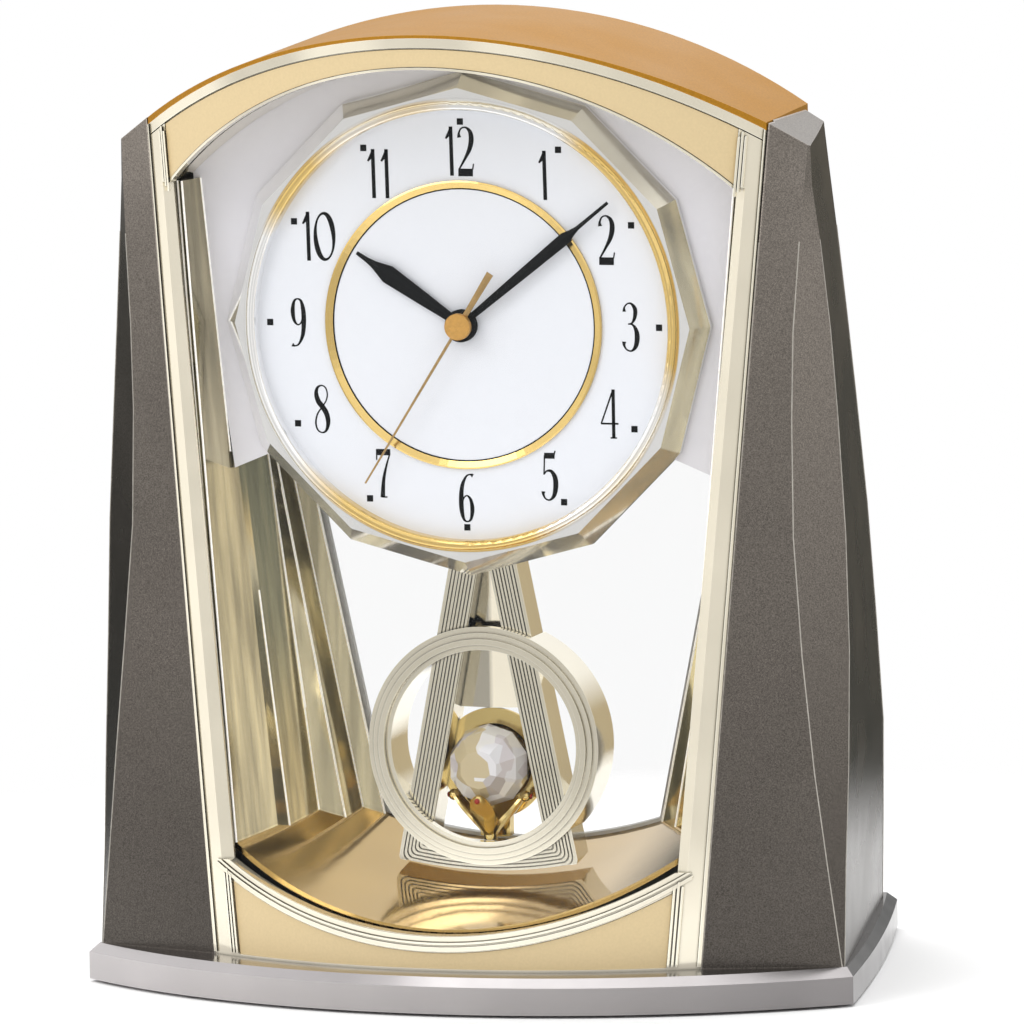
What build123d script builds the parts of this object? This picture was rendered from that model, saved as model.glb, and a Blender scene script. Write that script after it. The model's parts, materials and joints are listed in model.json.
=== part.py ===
from build123d import *
import math
import os

# Desk pendulum clock, in millimetres. Z is up, the dial faces -Y, and the origin is the middle of
# the base's underside. Positive turns about +Y run clockwise as the front shows them.

# Base
base_width = 206.0
base_depth = 160.0
base_bow = 36.0
base_rear_width = 161.0
base_side_bulge = 1.6
base_wall_height = 7.0
base_chamfer = 2.2
base_wall = 2.6
foot_height = 0.8
foot_radius = 6.0
foot_inset = 17.0
bottom_plate_thickness = 2.0
bottom_plate_clearance = 0.2
bottom_screw_radius = 2.8
bottom_screw_height = 0.9
bottom_screw_step = 15.0

# Bowed front of the body
body_setback = 10.4
bow_radius = 136.0
frame_depth = 4.0
panel_thickness = 1.6
panel_recess = 0.3
panel_clearance = 0.15
pane_thickness = 1.2
pane_lap_share = 0.9
pillar_foot_half = 65.4
pillar_top_half = 82.7
pillar_foot_width = 7.9
pillar_top_width = 6.5
mouth_foot_height = 35.0
mouth_top_height = 209.0
arch_crown = 248.4
arch_radius = 149.6
mouth_crown = 240.4
mouth_arch_radius = 106.0
mouth_sill = 19.1
mouth_sill_radius = 119.5
moulding_width = 4.2
arch_bead_width = 0.6
arch_band_width = 2.7
band_groove_width = 0.3
band_groove_depth = 0.6
foot_band = 0.7
bead_proud = 0.5
bevel_depth = 3.0
rib_proud = 0.6
rib_width = 0.55
low_rib_length = 20.0
high_rib_length = 12.4
rib_stagger = 1.2

# Side panels
wing_wall = 2.4
wing_shoulder_height = 219.0
wing_rear_inset = 9.0
wing_head_depth = 66.6
wing_foot_seat = 3.4
wing_head_seat = 7.2
wing_inner_set = 8.0
wing_cavity_margin = 9.0
bevel_drop = 6.5

# Top cover
cover_front_rise = 0.8
cover_rear_rise = 3.4

# Niche behind the front
niche_wall = 1.4
niche_depth = 77.1
niche_reference = 39.0
floor_rise = 13.4
floor_thickness = 1.6
shelf_height = 138.0
shelf_thickness = 1.6
rear_window_thickness = 1.2
window_frame_thickness = 1.6
window_lip = 1.2
seat_clearance = 0.15

# Dial group
shaft_height = 172.3
dial_setback = 37.6
back_panel_thickness = 1.6
back_panel_drop = 0.41
back_panel_edge_height = 133.8
bezel_radius = 65.0
bezel_crest_radius = 61.0
bezel_lip_radius = 55.3
bezel_lip_width = 2.6
bezel_sides = 12
bezel_depth = 5.5
bezel_base_depth = 2.0
bezel_lip_proud = 1.4
lip_round_share = 0.8
dial_radius = 57.0
dial_thickness = 1.0
dial_rim_radius = 52.0
dial_rise = 5.0
dial_ring_radius = 34.6
dial_ring_width = 1.9
dial_ring_proud = 0.7
ring_round_share = 0.6
dial_hole_clearance = 0.3

# Hands and their arbors
hour_gap = 1.3
hand_gap = 0.9
hand_thickness = 0.5
hour_belly_share = 0.42
minute_belly_share = 0.36
hour_length = 35.0
hour_width = 7.4
hour_neck = 2.6
minute_length = 49.5
minute_width = 5.4
minute_neck = 2.2
hand_tip_width = 0.7
hand_hub_radius = 4.4
second_length = 47.7
second_tail = 15.5
second_width = 0.8
second_tail_width = 2.0
second_cap_radius = 3.4
second_cap_height = 1.4
cap_round_share = 0.4
cap_seat_share = 0.8
second_arbor_radius = 0.5
minute_arbor_radius = 1.25
hour_arbor_radius = 2.0
arbor_clearance = 0.06
arbor_step = 2.75
arbor_end_gap = 1.0
bush_radius = 3.9
nut_across_flats = 11.0
nut_thickness = 1.8
washer_radius = 6.5
washer_thickness = 0.8
hour_angle = 304.2
minute_angle = 50.0
second_angle = 213.7

# Movement
movement_width = 56.0
movement_height = 56.0
movement_depth = 22.0
movement_corner = 4.0
movement_front_gap = 0.9
battery_radius = 7.1
battery_length = 50.0
battery_wall = 1.5
battery_clearance = 0.25
battery_button_radius = 2.6
battery_button_length = 1.2
battery_drop = 13.0
knob_radius = 6.0
knob_length = 7.0
knob_shaft_radius = 1.5
knob_clearance = 0.08
knob_offset = 14.0
knob_rise = 12.0
knob_teeth = 18
drive_width = 30.0
drive_depth = 8.0
drive_height = 32.0
drive_gap = 1.0

# Pendulum
pivot_height = 138.3
pivot_pin_radius = 1.0
pivot_clearance = 0.06
pivot_eye_radius = 3.6
ear_thickness = 1.5
ear_width = 9.0
ear_gap = 0.4
ear_round_share = 0.4
pendulum_setback = 45.1
pendulum_depth = 10.0
leg_spread = 0.197
foot_swing_radius = 110.4
foot_half = 24.4
foot_shoulder_height = 31.3
foot_floor_gap = 2.2
frame_bar = 7.65
frame_corner = 2.5
corner_share = 0.3
rib_count = 8
rib_pitch = 0.92
rib_groove = 0.42
rib_groove_depth = 0.5
ring_radius = 31.0
ring_bore = 25.0
ring_front_proud = 4.0
ring_rear_proud = 1.5
ring_centre_height = 62.0
ring_step = 1.5
plate_ridge_set = 5.0
plate_edge_set = 8.6
plate_foot = 71.0
plate_thickness = 1.0
crystal_radius = 10.75
crystal_height = 56.4
crystal_set = 2.5
crystal_sides = 10
crystal_angles = (-62, -30, 0, 30, 62)
shell_gap = 0.35
shell_thickness = 1.1
shell_set = 4.2
shell_flange = 3.6
shell_post_width = 8.0
petal_thickness = 0.8
petal_width = 6.6
petal_height = 11.6
petal_drop = 12.4
petal_bead_radius = 1.5
petal_stem_radius = 1.8
magnet_radius = 4.0
magnet_thickness = 3.0
magnet_height = 124.0

# Rear
rear_cover_thickness = 2.4
rear_cover_clearance = 0.3
rear_cover_foot = 134.0
door_width = 66.0
door_foot = 146.0
door_head = 206.0
door_thickness = 2.0
door_clearance = 0.4
door_pin_radius = 0.9
door_pin_clearance = 0.06
door_barrel_radius = 2.0
door_barrel_place = 22.0
door_barrel_length = 9.0
door_ear_length = 3.0
door_pull_radius = 9.0
door_pull_depth = 5.0

overrun = 1.0
wide = 400.0

base_top = foot_height + base_wall_height + base_chamfer
body_front = -base_depth / 2 + body_setback
bow_centre = body_front + bow_radius
corner_y = -base_depth / 2 + base_bow
back_panel_front = body_front + dial_setback
dial_front = back_panel_front - dial_rise
pendulum_front = body_front + pendulum_setback
niche_rear = body_front + niche_depth
wing_rear_foot = base_depth / 2 - wing_rear_inset
wing_rear_head = body_front + wing_head_depth
wing_inner_foot = pillar_foot_half - wing_foot_seat
wing_inner_head = pillar_top_half - wing_head_seat
wing_reach = base_width / 2 - pillar_foot_half
rear_slope = (wing_rear_foot - wing_rear_head) / (wing_shoulder_height - base_top)
part_names = []


def save(name, shape):
    shape.label = name
    part_names.append(name)
    export_step(shape, "parts/" + name + ".step")


def front_face(points):
    """A flat face through points given as (x, z)."""
    return make_face(Polyline(*[(x, z) for x, z in points], close=True))


def through(face, front, rear):
    """The face drawn as the front shows it, made solid from one Y to the other."""
    return extrude(Plane.XZ.offset(-rear) * face, amount=rear - front)


def upright(radius, low, high, y=0.0, x=0.0):
    """A vertical cylinder between two heights."""
    return Pos(x, y, (low + high) / 2) * Cylinder(radius, high - low)


def along_y(radius, front, rear, x=0.0, z=0.0):
    """A cylinder that runs front to rear."""
    return Pos(x, (front + rear) / 2, z) * Rot(X=90) * Cylinder(radius, rear - front)


def block(x0, x1, y0, y1, z0, z1):
    """A box between two corners."""
    return Pos((x0 + x1) / 2, (y0 + y1) / 2, (z0 + z1) / 2) * Box(x1 - x0, y1 - y0, z1 - z0)


def bow_layer(near, far):
    """The space between two depths behind the bowed front."""
    low, high = -overrun, arch_crown + overrun
    outer = upright(bow_radius - near, low, high, bow_centre)
    inner = upright(bow_radius - far, low - overrun, high + overrun, bow_centre)
    front_half = block(-base_width, base_width, -base_depth, body_front + bow_radius / 2, low, high)
    return (outer - inner) & front_half


def behind_bow(depth):
    """Everything farther back than a depth behind the bowed front."""
    low, high = -overrun, arch_crown + base_chamfer * 2
    rear = block(-wide / 2, wide / 2, bow_centre, bow_centre + wide, low, high)
    return upright(bow_radius - depth, low, high, bow_centre) + rear


def along(low, high, share):
    """The value a share of the way between two values."""
    return low + (high - low) * share


def bow_y(x):
    """Where the bowed front stands at a distance from the middle."""
    return bow_centre - math.sqrt(bow_radius**2 - x**2)


def rear_y(z):
    """Where the sloped back of the body stands at a height."""
    return wing_rear_foot - rear_slope * (z - base_top)


def bow_rear_y(x):
    """Where the back of the front frame stands at a distance from the middle."""
    return bow_centre - math.sqrt((bow_radius - frame_depth) ** 2 - x**2)


def wing_inner(z):
    """Half the width between the side panels' inner walls at a height."""
    share = (z - base_top) / (wing_shoulder_height - base_top)
    return along(wing_inner_foot, wing_inner_head, share)


# Front shapes


def pillar_half(z, inward=0.0):
    """Half the width between the pillars' outer edges at a height."""
    slope = (pillar_top_half - pillar_foot_half) / (wing_shoulder_height - base_top)
    return pillar_foot_half + slope * (z - base_top) - inward


def arch_z(x, crown, radius):
    """Height of an arch at a distance from the middle."""
    return crown - radius + math.sqrt(radius**2 - x**2)


def body_outline(inset=0.0):
    """The body's front outline: two leaning sides under an arch."""
    top_x = pillar_top_half - inset
    top_z = arch_z(top_x, arch_crown - inset, arch_radius)
    foot_x = pillar_foot_half - inset
    sides = Polyline((-top_x, top_z), (-foot_x, base_top), (foot_x, base_top), (top_x, top_z))
    arch = ThreePointArc((top_x, top_z), (0, arch_crown - inset), (-top_x, top_z))
    return make_face(sides + arch)


def mouth_side(z):
    """Half the width of the mouth at a height."""
    share = (z - mouth_foot_height) / (mouth_top_height - mouth_foot_height)
    return pillar_half(z) - along(pillar_foot_width, pillar_top_width, share)


mouth_foot_half = mouth_side(mouth_foot_height)
mouth_top_half = mouth_side(mouth_top_height)


def mouth_outline(grow=0.0):
    """The mouth of the niche: leaning sides between two arcs."""
    foot_x = mouth_foot_half + grow
    top_x = mouth_top_half + grow
    foot_z = mouth_sill - grow + mouth_sill_radius - math.sqrt(mouth_sill_radius**2 - foot_x**2)
    top_z = arch_z(top_x, mouth_crown + grow, mouth_arch_radius)
    right = Line((foot_x, foot_z), (top_x, top_z))
    arch = ThreePointArc((top_x, top_z), (0, mouth_crown + grow), (-top_x, top_z))
    left = Line((-top_x, top_z), (-foot_x, foot_z))
    sill = ThreePointArc((-foot_x, foot_z), (0, mouth_sill - grow), (foot_x, foot_z))
    return make_face(right + arch + left + sill)


def disc(radius, z):
    """A round face in the front view, centred on the middle line."""
    return Pos(0, z) * Circle(radius)


def lower_panel_outline(inset=0.0):
    """The beige panel under the niche, over the frame's foot band."""
    low_z = base_top + foot_band
    low_half = mouth_side(low_z) - inset
    high_half = mouth_side(mouth_foot_height) - inset
    corners = [(-low_half, low_z), (low_half, low_z)]
    corners += [(high_half, mouth_foot_height), (-high_half, mouth_foot_height)]
    bore = disc(mouth_sill_radius + moulding_width + inset, mouth_sill + mouth_sill_radius)
    return front_face(corners) - bore


def arch_panel_outline(inset=0.0):
    """The beige panel of the arch."""
    low_z = arch_z(mouth_top_half, mouth_crown, mouth_arch_radius) - arch_bead_width * 2
    low_half = mouth_side(low_z) - inset
    high_half = mouth_side(arch_crown) - inset
    corners = [(-low_half, low_z), (low_half, low_z), (high_half, arch_crown), (-high_half, arch_crown)]
    within = front_face(corners) & disc(arch_radius - arch_band_width - inset, arch_crown - arch_radius)
    bore = disc(mouth_arch_radius + arch_bead_width + inset, mouth_crown - mouth_arch_radius)
    return within - bore


def pillar_edge(share, z):
    """The place across the right pillar at a share of its width and a height."""
    return along(pillar_half(z), mouth_side(z), share)


def pillar_strip(outer_share, inner_share, low, high):
    """A strip that runs up the right pillar, between two shares of its width."""
    return front_face(
        [
            (pillar_edge(outer_share, low), low),
            (pillar_edge(outer_share, high), high),
            (pillar_edge(inner_share, high), high),
            (pillar_edge(inner_share, low), low),
        ]
    )


def both_sides(shape):
    """The shape and its mirror image across the middle plane."""
    return shape + mirror(shape, about=Plane.YZ)


# Shares of the pillar's width, from its outer edge to the mouth.
bead_share = 0.11
bevel_share = 0.62
bevel_level_shares = (0, 0.33, 0.67, 1)
rib_places_shares = (0.7, 0.82, 0.94)


def pillar_rib(share, low, high):
    """One thin rib with round ends, as the front shows it."""
    start = (pillar_edge(share, low), low)
    end = (pillar_edge(share, high), high)
    length = math.dist(start, end)
    lean = math.degrees(math.atan2(end[0] - start[0], high - low))
    middle = ((start[0] + end[0]) / 2, (low + high) / 2)
    return Pos(*middle) * Rot(Z=-lean) * SlotCenterToCenter(length, rib_width, rotation=90)


def frame_ribs():
    """Three ribs beside each panel on both pillars."""
    ribs = Sketch()
    low = base_top + foot_band + rib_width
    high = mouth_top_height + rib_width
    for i, share in enumerate(rib_places_shares):
        stagger = rib_stagger * (1 - abs(i - 1))
        ribs += pillar_rib(share, low, low + low_rib_length + stagger)
        ribs += pillar_rib(share, high - rib_stagger * i, high + high_rib_length + stagger)
    return both_sides(ribs)


def pillar_bevel():
    """The wedge cut away along the right pillar, from its flat strip back to the mouth's edge."""
    levels = []
    for share in bevel_level_shares:
        z = along(mouth_foot_height, mouth_top_height, share)
        outer = pillar_edge(bevel_share, z)
        inner = mouth_side(z)
        front = body_front - overrun
        deep = bow_y(inner) + bevel_depth
        points = [(outer, bow_y(outer)), (inner, deep), (inner - overrun, deep + overrun * bevel_share)]
        points += [(inner - overrun, front), (outer, front)]
        levels.append(Pos(0, 0, z) * make_face(Polyline(*points, close=True)))
    return loft(levels, ruled=True)


def front_frame():
    """The plated frame: pillars, mouldings and the ledge that the panels lie on."""
    far = body_front + bow_radius / 2
    plate = through(body_outline() - mouth_outline(), -base_depth, far)
    frame = plate & bow_layer(0, frame_depth)
    pockets = through(lower_panel_outline() + arch_panel_outline(), -base_depth, far)
    frame -= pockets & bow_layer(-overrun, panel_recess + panel_thickness)
    wedge = pillar_bevel()
    frame -= wedge
    frame -= mirror(wedge, about=Plane.YZ)
    centre = arch_crown - arch_radius
    inner = arch_radius - arch_band_width
    line = disc(inner + band_groove_width, centre) - disc(inner, centre)
    frame -= through(line, -base_depth, far) & bow_layer(-overrun, band_groove_depth)
    low = base_top + foot_band
    bead = both_sides(pillar_strip(0, bead_share, low, arch_crown)) & body_outline()
    frame += through(bead, -base_depth, far) & bow_layer(-bead_proud, band_groove_depth)
    frame += through(frame_ribs(), -base_depth, far) & bow_layer(-rib_proud, band_groove_depth)
    return frame + sill_ridges(far)


# Each row: start and end share of the moulding's width, and share of the bead's height.
sill_ridge_shares = ((0.04, 0.3, 0.6), (0.38, 0.5, 1.6), (0.66, 0.92, 1.0))


def sill_ridges(far):
    """The raised lines of the moulding along the sill."""
    centre = mouth_sill + mouth_sill_radius
    inside = mouth_outline(moulding_width) - mouth_outline()
    inside &= Rectangle(wide, mouth_foot_height * 2)
    ridges = []
    for start_share, end_share, height_share in sill_ridge_shares:
        inner = mouth_sill_radius + moulding_width * start_share
        outer = mouth_sill_radius + moulding_width * end_share
        ridge = (disc(outer, centre) - disc(inner, centre)) & inside
        layer = bow_layer(-bead_proud * height_share, band_groove_depth)
        ridges.append(through(ridge, -base_depth, far) & layer)
    return ridges


def inlaid(outline):
    """A panel that lies in its pocket in the front frame."""
    far = body_front + bow_radius / 2
    layer = bow_layer(panel_recess, panel_recess + panel_thickness)
    return through(outline, -base_depth, far) & layer


def front_pane():
    """The clear bent pane behind the frame."""
    far = body_front + bow_radius / 2
    layer = bow_layer(frame_depth, frame_depth + pane_thickness)
    return through(mouth_outline(moulding_width * pane_lap_share), -base_depth, far) & layer


# Base


def base_outline(inset=0.0):
    """The base seen from above: bowed front, tapering sides, straight back."""
    half = base_width / 2 - inset
    rear_half = base_rear_width / 2 - inset
    front = -base_depth / 2 + inset
    corner = corner_y + inset
    rear = base_depth / 2 - inset
    bulge_x = (half + rear_half) / 2 + base_side_bulge
    bulge_y = (corner + rear) / 2
    bow = ThreePointArc((-half, corner), (0, front), (half, corner))
    right = ThreePointArc((half, corner), (bulge_x, bulge_y), (rear_half, rear))
    back = Line((rear_half, rear), (-rear_half, rear))
    left = ThreePointArc((-rear_half, rear), (-bulge_x, bulge_y), (-half, corner))
    return make_face(bow + right + back + left)


def base_plinth():
    """The silver plinth, chamfered on top and open below."""
    wall = Pos(0, 0, foot_height) * extrude(base_outline(), base_wall_height)
    top_low = foot_height + base_wall_height
    shoulder = loft(
        [Pos(0, 0, top_low) * base_outline(), Pos(0, 0, base_top) * base_outline(base_chamfer)],
        ruled=True,
    )
    hollow_height = base_wall_height + base_chamfer - base_wall
    hollow = Pos(0, 0, foot_height) * extrude(base_outline(base_wall), hollow_height)
    return wall + shoulder - hollow


def bottom_plate():
    """The plate that closes the plinth, with a seat for each foot."""
    outline = base_outline(base_wall + bottom_plate_clearance)
    plate = Pos(0, 0, foot_height) * extrude(outline, bottom_plate_thickness)
    bosses = []
    for x, y in screw_places():
        high = base_top - base_wall
        bosses.append(upright(bottom_screw_radius + base_wall / 2, foot_height, high, y, x))
    plate += bosses
    for x, y in screw_places():
        plate -= upright(bottom_screw_radius, 0, foot_height + bottom_screw_height, y, x)
    return plate


def foot_places():
    """Where the four feet stand."""
    front_x = base_width / 2 - foot_inset
    rear_x = base_rear_width / 2 - foot_inset
    front_y = corner_y + foot_inset / 2
    rear_y_place = base_depth / 2 - foot_inset
    return [(front_x, front_y), (-front_x, front_y), (rear_x, rear_y_place), (-rear_x, rear_y_place)]


def screw_places():
    """Where the four bottom screws sit, inboard of the feet."""
    return [(x - math.copysign(bottom_screw_step, x), y) for x, y in foot_places()]


def base_feet():
    """Four round feet under the bottom plate."""
    return [upright(foot_radius, 0, foot_height, y, x) for x, y in foot_places()]


def bottom_screws():
    """Four screw heads, sunk level with the bottom plate."""
    radius = bottom_screw_radius - bottom_plate_clearance
    high = foot_height + bottom_screw_height
    return [upright(radius, foot_height, high, y, x) for x, y in screw_places()]


# Side panels

# Each row: share of the height, the crease's place as a share of the panel's reach beyond the pillar,
# slope of the front facet, the corner's place beyond the crease as a share of the reach, slope of the
# lens facet, and share of the base's rear half-width at the rear corner.
wing_row_shares = (
    (0.0, 0.912, 0.303, 0.012, 1.7, 0.981),
    (0.12, 0.779, 0.263, 0.085, 1.69, 1.018),
    (0.24, 0.649, 0.209, 0.165, 1.61, 1.053),
    (0.383, 0.505, 0.211, 0.237, 1.42, 1.07),
    (0.526, 0.378, 0.289, 0.277, 1.14, 1.083),
    (0.67, 0.301, 0.345, 0.242, 1.18, 1.087),
    (0.775, 0.266, 0.33, 0.189, 1.37, 1.088),
    (0.885, 0.255, 0.385, 0.098, 1.7, 1.087),
    (0.952, 0.25, 0.479, 0.036, 2.0, 1.085),
    (1.0, 0.246, 0.58, 0.012, 2.0, 1.084),
    (1.04, 0.246, 0.58, 0.012, 2.0, 1.084),
)


def wing_section(row):
    """One level of the right side panel, seen from above."""
    share, crease_share, front_slope, corner_share, lens_slope, rear_share = row
    z = along(base_top, wing_shoulder_height, share)
    pillar_x = pillar_half(z)
    pillar_y = bow_y(pillar_x)
    crease_x = pillar_x + crease_share * wing_reach
    crease_y = pillar_y + front_slope * (crease_x - pillar_x)
    corner_x = crease_x + corner_share * wing_reach
    corner = (corner_x, crease_y + lens_slope * (corner_x - crease_x))
    rear = rear_y(z)
    rear_x = base_rear_width / 2 * rear_share
    inner_x = wing_inner(z)
    seat_y = bow_rear_y(pillar_x)
    points = [(pillar_x, pillar_y), (crease_x, crease_y), corner, (rear_x, rear)]
    points += [(inner_x, rear), (inner_x, seat_y + wing_inner_set), (pillar_x, seat_y)]
    return z, points


def wing_hollow(row):
    """One level of the room inside the side panel."""
    z, points = wing_section(row)
    corner, rear, inner = points[2:5]
    front_y = points[5][1]
    hollow = [
        (inner[0] + wing_wall, front_y),
        (corner[0] - wing_wall * 2, corner[1] + wing_wall * 2),
        (rear[0] - wing_wall, rear[1] - wing_wall),
        (inner[0] + wing_wall, inner[1] - wing_wall),
    ]
    return z, hollow


def wing_levels(section, low_share, high_share):
    """Faces up the side panel between two shares of its height."""
    shares = [low_share] + [r[0] for r in wing_row_shares if low_share < r[0] < high_share] + [high_share]
    levels = [section(wing_row_at(share)) for share in shares]
    return [Pos(0, 0, z) * make_face(Polyline(*points, close=True)) for z, points in levels]


def wing_row_at(share):
    """The row for any share of the height, between the listed ones."""
    for low, high in zip(wing_row_shares, wing_row_shares[1:]):
        if share <= high[0]:
            part = (share - low[0]) / (high[0] - low[0])
            return tuple(along(a, b, part) for a, b in zip(low, high))
    low, high = wing_row_shares[-2:]
    part = (share - low[0]) / (high[0] - low[0])
    return tuple(along(a, b, part) for a, b in zip(low, high))


def above_arch():
    """The front view of the space that the top cover closes, over the arch."""
    low_z = arch_z(pillar_top_half, arch_crown, arch_radius)
    room = Pos(0, low_z + wide / 2) * Rectangle(pillar_top_half * 2, wide)
    return room - disc(arch_radius, arch_crown - arch_radius)


def side_panel():
    """The right side panel: a hollow faceted shell with a bevelled shoulder."""
    height = wing_shoulder_height - base_top
    top_share = 1 + bevel_drop / height
    shell = loft(wing_levels(wing_section, 0, top_share), ruled=True)
    cavity_top = (height - wing_cavity_margin) / height
    shell -= loft(wing_levels(wing_hollow, -overrun / height, cavity_top), ruled=True)
    inner_x = pillar_top_half
    outer_x = wing_section(wing_row_at(1))[1][2][0]
    low_z = wing_shoulder_height
    high_z = low_z + bevel_drop
    run = outer_x - inner_x
    roof = front_face(
        [
            (inner_x - run, high_z + bevel_drop),
            (outer_x + run, low_z - bevel_drop),
            (outer_x + run, high_z + wide),
            (inner_x - run, high_z + wide),
        ]
    )
    return shell - through(roof, -wide, wide) - through(above_arch(), -wide, wide)


# Top cover and niche


def top_cover():
    """The bronze cover: an arched lid that rises a little towards the back."""

    def section(y, rise):
        half = pillar_top_half
        low_z = arch_z(half, arch_crown, arch_radius)
        under = ThreePointArc((-half, low_z), (0, arch_crown), (half, low_z))
        end = Line((half, low_z), (half, low_z + rise))
        over = ThreePointArc((half, low_z + rise), (0, arch_crown + rise), (-half, low_z + rise))
        back = Line((-half, low_z + rise), (-half, low_z))
        return Plane.XZ.offset(-y) * make_face(under + end + over + back)

    lid = loft([section(body_front, cover_front_rise), section(wing_rear_head, cover_rear_rise)], ruled=True)
    tall = arch_crown + cover_rear_rise + overrun
    return lid & (upright(bow_radius, 0, tall, bow_centre))


def floor_space(depth):
    """The sloping trough, from its surface down to a depth under the sill."""
    edge = mouth_foot_half * niche_step_shares[0][0] + niche_wall * 2
    edge_z = mouth_sill + mouth_sill_radius - math.sqrt(mouth_sill_radius**2 - edge**2)
    low_z = mouth_sill - depth
    arc = ThreePointArc((-edge, edge_z), (0, mouth_sill), (edge, edge_z))
    sides = Polyline((edge, edge_z), (edge, low_z), (-edge, low_z), (-edge, edge_z))
    start = Plane.XZ.offset(-body_front) * make_face(arc + sides)
    length = niche_rear - body_front
    slope = floor_rise / length
    run = (length + overrun) * math.hypot(1, slope)
    return extrude(start, amount=run, dir=(0, 1, slope))


# Each row: share of the mouth's half-width at the reference height, share of the way from the front
# pane to the rear window, and share of the rise by which that line leans outwards.
niche_step_shares = (
    (1.014, 0.0, 0.091),
    (0.935, 0.4, 0.093),
    (0.901, 0.46, 0.111),
    (0.856, 0.75, 0.128),
    (0.754, 0.8, 0.18),
    (0.727, 0.98, 0.198),
    (0.638, 1.0, 0.207),
)
niche_top = arch_z(mouth_top_half, mouth_crown, mouth_arch_radius)


def niche_half(step, z):
    """Half the width of the niche at one of its steps and a height."""
    half_share, _, lean_share = step
    return mouth_foot_half * half_share + lean_share * (z - niche_reference)


def niche_place(step):
    """Where a step of the niche wall stands, front to rear."""
    front = bow_y(mouth_foot_half) + frame_depth
    return along(front, niche_rear - niche_wall, step[1])


def niche_section(z):
    """The stepped wall of the niche at a height, seen from above."""
    points = [(niche_half(step, z), niche_place(step)) for step in niche_step_shares]
    outer = [(x + niche_wall, y + niche_wall) for x, y in points]
    return Pos(0, 0, z) * make_face(Polyline(*points, *reversed(outer), close=True))


def niche_wall_right():
    """The right stepped wall: it stands on the trough and reaches up behind the frame."""
    wall = loft([niche_section(mouth_sill), niche_section(shelf_height)], ruled=True)
    upper = loft([niche_section(shelf_height), niche_section(niche_top)], ruled=True)
    wall += upper & block(0, wide / 2, -wide, back_panel_front, 0, wide)
    wall -= floor_space(mouth_sill)
    return wall & behind_bow(frame_depth + pane_thickness)


def niche_floor():
    """The mirror floor: a shallow trough that rises towards the back."""
    floor = floor_space(floor_thickness) - Pos(0, 0, -floor_thickness) * floor_space(mouth_sill)
    edge = []
    for step in niche_step_shares:
        edge.append((mouth_foot_half * step[0] + niche_wall, niche_place(step) + niche_wall))
    right = [(edge[0][0], -base_depth)] + edge
    left = [(-x, y) for x, y in reversed(right)]
    plan = extrude(make_face(Polyline(*right, *left, close=True)), wide)
    return floor & plan & behind_bow(frame_depth + pane_thickness)


def arch_reveal():
    """The strip that closes the niche over the dial, from the pane back to the dial board."""
    centre = mouth_crown - mouth_arch_radius
    band = disc(mouth_arch_radius + niche_wall, centre) - disc(mouth_arch_radius, centre)
    half = niche_half(niche_step_shares[0], niche_top)
    band &= Pos(0, mouth_crown) * Rectangle(half * 2, (mouth_crown - niche_top) * 2)
    strip = through(band, body_front, back_panel_front)
    return strip & behind_bow(frame_depth + pane_thickness)


def shelf():
    """The shelf under the movement, slotted where the pendulum hangs through."""
    rear = rear_y(shelf_height + shelf_thickness) - rear_cover_thickness
    front = back_panel_front + back_panel_thickness
    half = wing_inner(shelf_height) - seat_clearance
    plate = block(-half, half, front, rear, shelf_height, shelf_height + shelf_thickness)
    slot = block(-foot_half, foot_half, front - overrun, drive_front + drive_depth + overrun, 0, wide)
    return plate - slot


def window_outline(inset):
    """The opening at the back of the niche, from under the trough up to the shelf."""
    low = niche_half(niche_step_shares[-1], mouth_sill) - inset
    high = niche_half(niche_step_shares[-1], shelf_height) - inset
    return front_face(
        [(-low, mouth_sill), (low, mouth_sill), (high, shelf_height), (-high, shelf_height)]
    )


def window_frame():
    """The plate that closes the space round the rear window."""
    low = wing_inner(base_top) - seat_clearance
    high = wing_inner(shelf_height) - seat_clearance
    outline = front_face(
        [(-low, base_top), (low, base_top), (high, shelf_height), (-high, shelf_height)]
    )
    rear = niche_rear + window_frame_thickness
    hole = through(window_outline(window_lip), niche_rear - overrun, rear + overrun)
    sill = Pos(0, window_frame_thickness, window_lip) * floor_space(mouth_sill)
    return through(outline, niche_rear, rear) - (hole - sill)


def rear_window():
    """The clear pane at the back of the niche."""
    pane = through(window_outline(0), niche_rear - rear_window_thickness, niche_rear)
    return pane - floor_space(mouth_sill)


# Dial group


def back_panel():
    """The lavender board behind the dial, with a roof-shaped lower edge."""
    foot_x = niche_half(niche_step_shares[1], back_panel_edge_height) - seat_clearance
    foot_z = back_panel_edge_height
    crown = foot_z + back_panel_drop * foot_x
    top_x = niche_half(niche_step_shares[1], niche_top) + niche_wall * 2
    top_z = arch_z(top_x, mouth_crown + niche_wall, mouth_arch_radius + niche_wall)
    board = make_face(
        Polyline((top_x, top_z), (foot_x, foot_z), (0, crown), (-foot_x, foot_z), (-top_x, top_z))
        + ThreePointArc((-top_x, top_z), (0, mouth_crown + niche_wall), (top_x, top_z))
    )
    board -= disc(bush_radius, shaft_height)
    return through(board, back_panel_front, back_panel_front + back_panel_thickness)


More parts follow.
